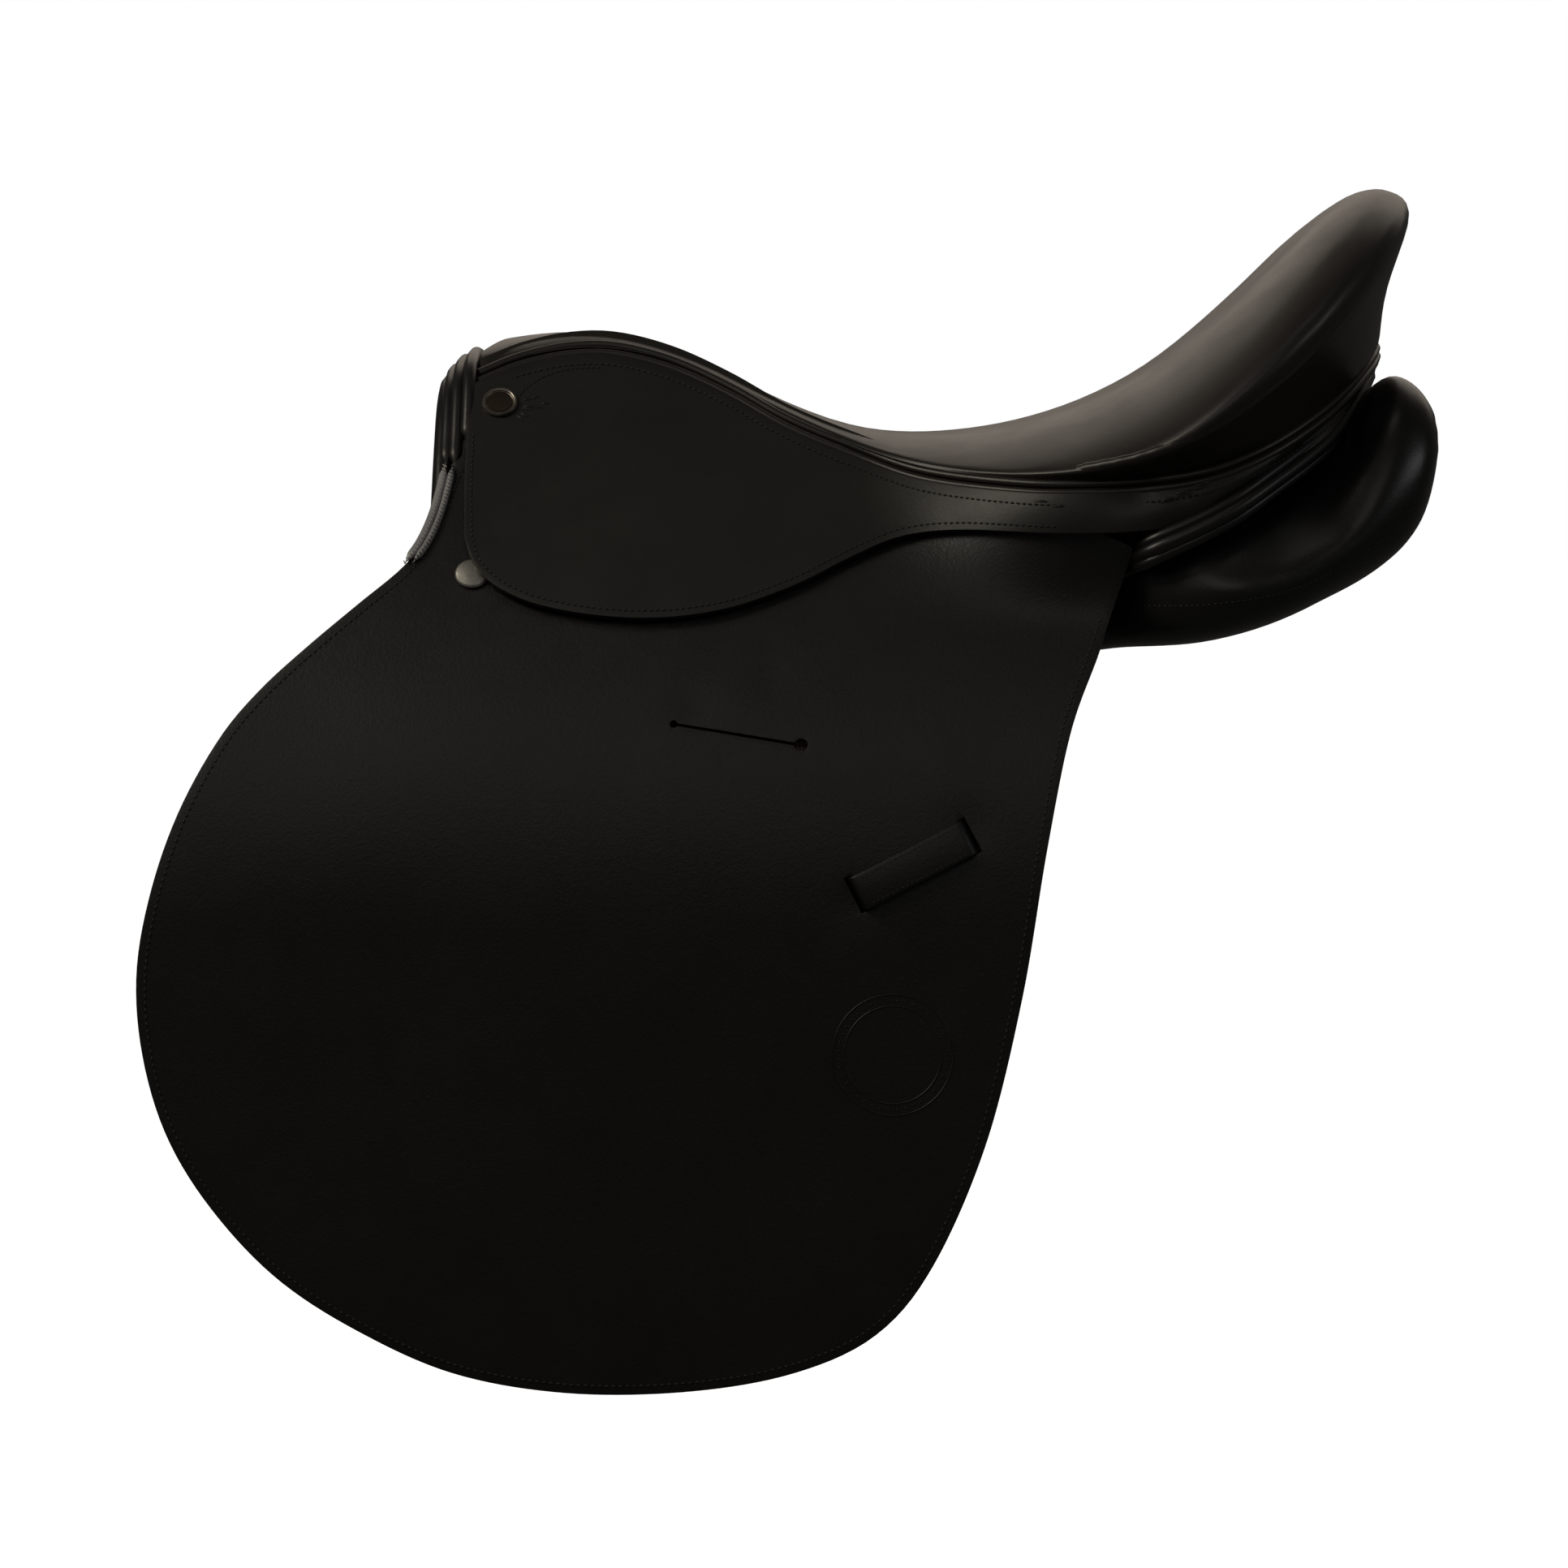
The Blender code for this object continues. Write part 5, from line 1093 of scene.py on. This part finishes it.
# (radius, height) of turned shapes, from the rim inwards
NAIL_RINGS = [
    (7.2, 0.0), (8.0, 0.5), (8.1, 1.2), (7.6, 1.9), (6.9, 2.0), (6.3, 1.7), (6.0, 1.2), (5.8, 1.1),
    (0.5, 1.3),
]
CENTRE_RINGS = [(5.9, 1.0), (5.7, 1.35), (3.0, 1.5), (0.4, 1.55)]
STUD_RINGS = [(7.3, 0.0), (7.6, 0.4), (7.6, 1.0), (7.1, 1.6), (6.4, 1.9), (0.5, 2.1)]


def make_fittings(side, sign):
    normal = side_normal(sign, *NAIL)
    spot = on_side(sign, *NAIL, SKIRT_OUTER)
    nail = disc(f"{side}_nail_head", WORN_NICKEL, NAIL_RINGS, spot, normal)
    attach(nail, "saddle")
    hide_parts(f"{side}_skirt_nail")
    centre = disc(f"{side}_nail_centre", NAIL_BROWN, CENTRE_RINGS, spot, normal)
    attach(centre, "saddle")
    spot = on_side(sign, *STUD, 0.3)
    stud = disc(f"{side}_stud_head", BRIGHT_NICKEL, STUD_RINGS, spot, side_normal(sign, *STUD))
    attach(stud, "saddle")
    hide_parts(f"{side}_flap_stud")


def finish_frame_nodes():
    """Finishes for the pieces that keep the frame's own shape."""
    finishes = {
        "tree": BEECH, "head_plate": SPRING_STEEL, "gullet_plate": SPRING_STEEL, "cantle_plate": SPRING_STEEL,
        "cross_seat_web": WEBBING, "seat_foam": FOAM, "gullet_lining": LINING,
    }
    for side in SIDES:
        for part, finish in (
            ("spring", SPRING_STEEL), ("seat_web", WEBBING), ("stirrup_bar", STEEL), ("bar_catch", STEEL),
            ("catch_pin", STEEL), ("front_bar_rivet", STEEL), ("rear_bar_rivet", STEEL),
            ("point_pocket", STRAP_LEATHER), ("front_girth_web", WEBBING), ("rear_girth_web", WEBBING),
            ("front_billet", STRAP_LEATHER), ("middle_billet", STRAP_LEATHER), ("rear_billet", STRAP_LEATHER),
            ("buckle_guard", STRAP_LEATHER),
        ):
            finishes[f"{side}_{part}"] = finish
    rounded = ("stirrup_bar", "bar_catch", "billet", "buckle_guard", "point_pocket")
    for node, finish in finishes.items():
        piece = frame["nodes"][node]
        for held in piece.material_slots:
            held.material = finish
        if node.endswith(rounded):
            edge = piece.modifiers.new("edge", "BEVEL")
            edge.width = 0.5 * MM
            edge.segments = 2
            edge.limit_method = "ANGLE"
            edge.angle_limit = math.radians(40)


# ---- Stage -------------------------------------------------------------------------------------
LOOK_AT = Vector((-0.012, 0.0, -0.050))
DISTANCE, ELEVATION = 2.2, math.radians(4)
FLOOR_Z = -0.62


def make_stage():
    bpy.ops.object.select_all(action="DESELECT")
    bpy.ops.mesh.primitive_plane_add(size=60, location=(0, 0, FLOOR_Z))
    floor = bpy.context.object
    bake_place(floor)
    pale, _, _, shader, _ = new_material("pale floor")
    shader.inputs["Base Color"].default_value = (0.92, 0.92, 0.92, 1)
    shader.inputs["Roughness"].default_value = 0.9
    shader.inputs["Emission Color"].default_value = (1, 1, 1, 1)
    shader.inputs["Emission Strength"].default_value = 1.0
    dress(floor, "floor", pale)
    floor.visible_glossy = False
    floor.visible_diffuse = False

    world = bpy.data.worlds.new("studio")
    bpy.context.scene.world = world
    world.use_nodes = True
    nodes, links = world.node_tree.nodes, world.node_tree.links
    behind = nodes["Background"]
    behind.inputs["Color"].default_value = (1.0, 0.95, 0.90, 1)
    behind.inputs["Strength"].default_value = 0.05
    shown = nodes.new("ShaderNodeBackground")
    shown.inputs["Color"].default_value = (1, 1, 1, 1)
    shown.inputs["Strength"].default_value = 1.0
    ray = nodes.new("ShaderNodeLightPath")
    both = nodes.new("ShaderNodeMixShader")
    links.new(ray.outputs["Is Camera Ray"], both.inputs["Fac"])
    links.new(behind.outputs["Background"], both.inputs[1])
    links.new(shown.outputs["Background"], both.inputs[2])
    links.new(both.outputs["Shader"], nodes["World Output"].inputs["Surface"])

    for name, place, aim, size, power, colour in (
        ("overhead strip", (0.20, -0.75, 1.85), (0, 0, 0.05), (0.5, 0.25), 0.35, (1.0, 0.95, 0.9)),
        ("left top softbox", (-1.35, -0.75, 1.25), (0.05, 0, 0.08), (0.9, 0.7), 11, (1.0, 0.93, 0.78)),
        ("front softbox", (-0.10, -2.0, 1.2), (0, 0, 0), (1.5, 0.8), 1.8, (1.0, 0.94, 0.90)),
        ("rear softbox", (0.35, 1.7, 1.25), (0.05, 0, 0.1), (2.4, 1.5), 8, (1.0, 0.87, 0.74)),
        ("cantle fill", (2.1, -1.2, 0.9), (0, 0, 0), (0.9, 0.5), 2.2, (1.0, 1.0, 1.0)),
    ):
        lamp = bpy.data.lights.new(name, "AREA")
        lamp.shape = "RECTANGLE"
        lamp.size, lamp.size_y = size
        lamp.energy = power
        lamp.color = colour
        holder = linked(name, lamp)
        holder.visible_camera = False
        holder.location = place
        holder.rotation_euler = (Vector(aim) - Vector(place)).to_track_quat("-Z", "Y").to_euler()

    camera = linked("camera", bpy.data.cameras.new("camera"))
    camera.data.lens = 108
    camera.data.sensor_width = 36
    back = Vector((0, -math.cos(ELEVATION), math.sin(ELEVATION)))
    camera.location = LOOK_AT + back * DISTANCE
    camera.rotation_euler = (-back).to_track_quat("-Z", "Y").to_euler()
    bpy.context.scene.camera = camera
    bpy.context.scene.view_settings.view_transform = "Standard"


make_stage()
finish_frame_nodes()
make_seat()
make_head()
make_rear_band()
for side, sign in SIDES.items():
    make_flap(side, sign)
    make_keeper(side, sign)
    make_mark(side, sign)
    make_skirt(side, sign)
    make_worn_marks(side, sign)
    make_piping(side, sign)
    make_gusset(side, sign)
    make_panel(side, sign)
    make_sweat_flap(side, sign)
    make_whipped_ridge(side, sign)
    make_fittings(side, sign)
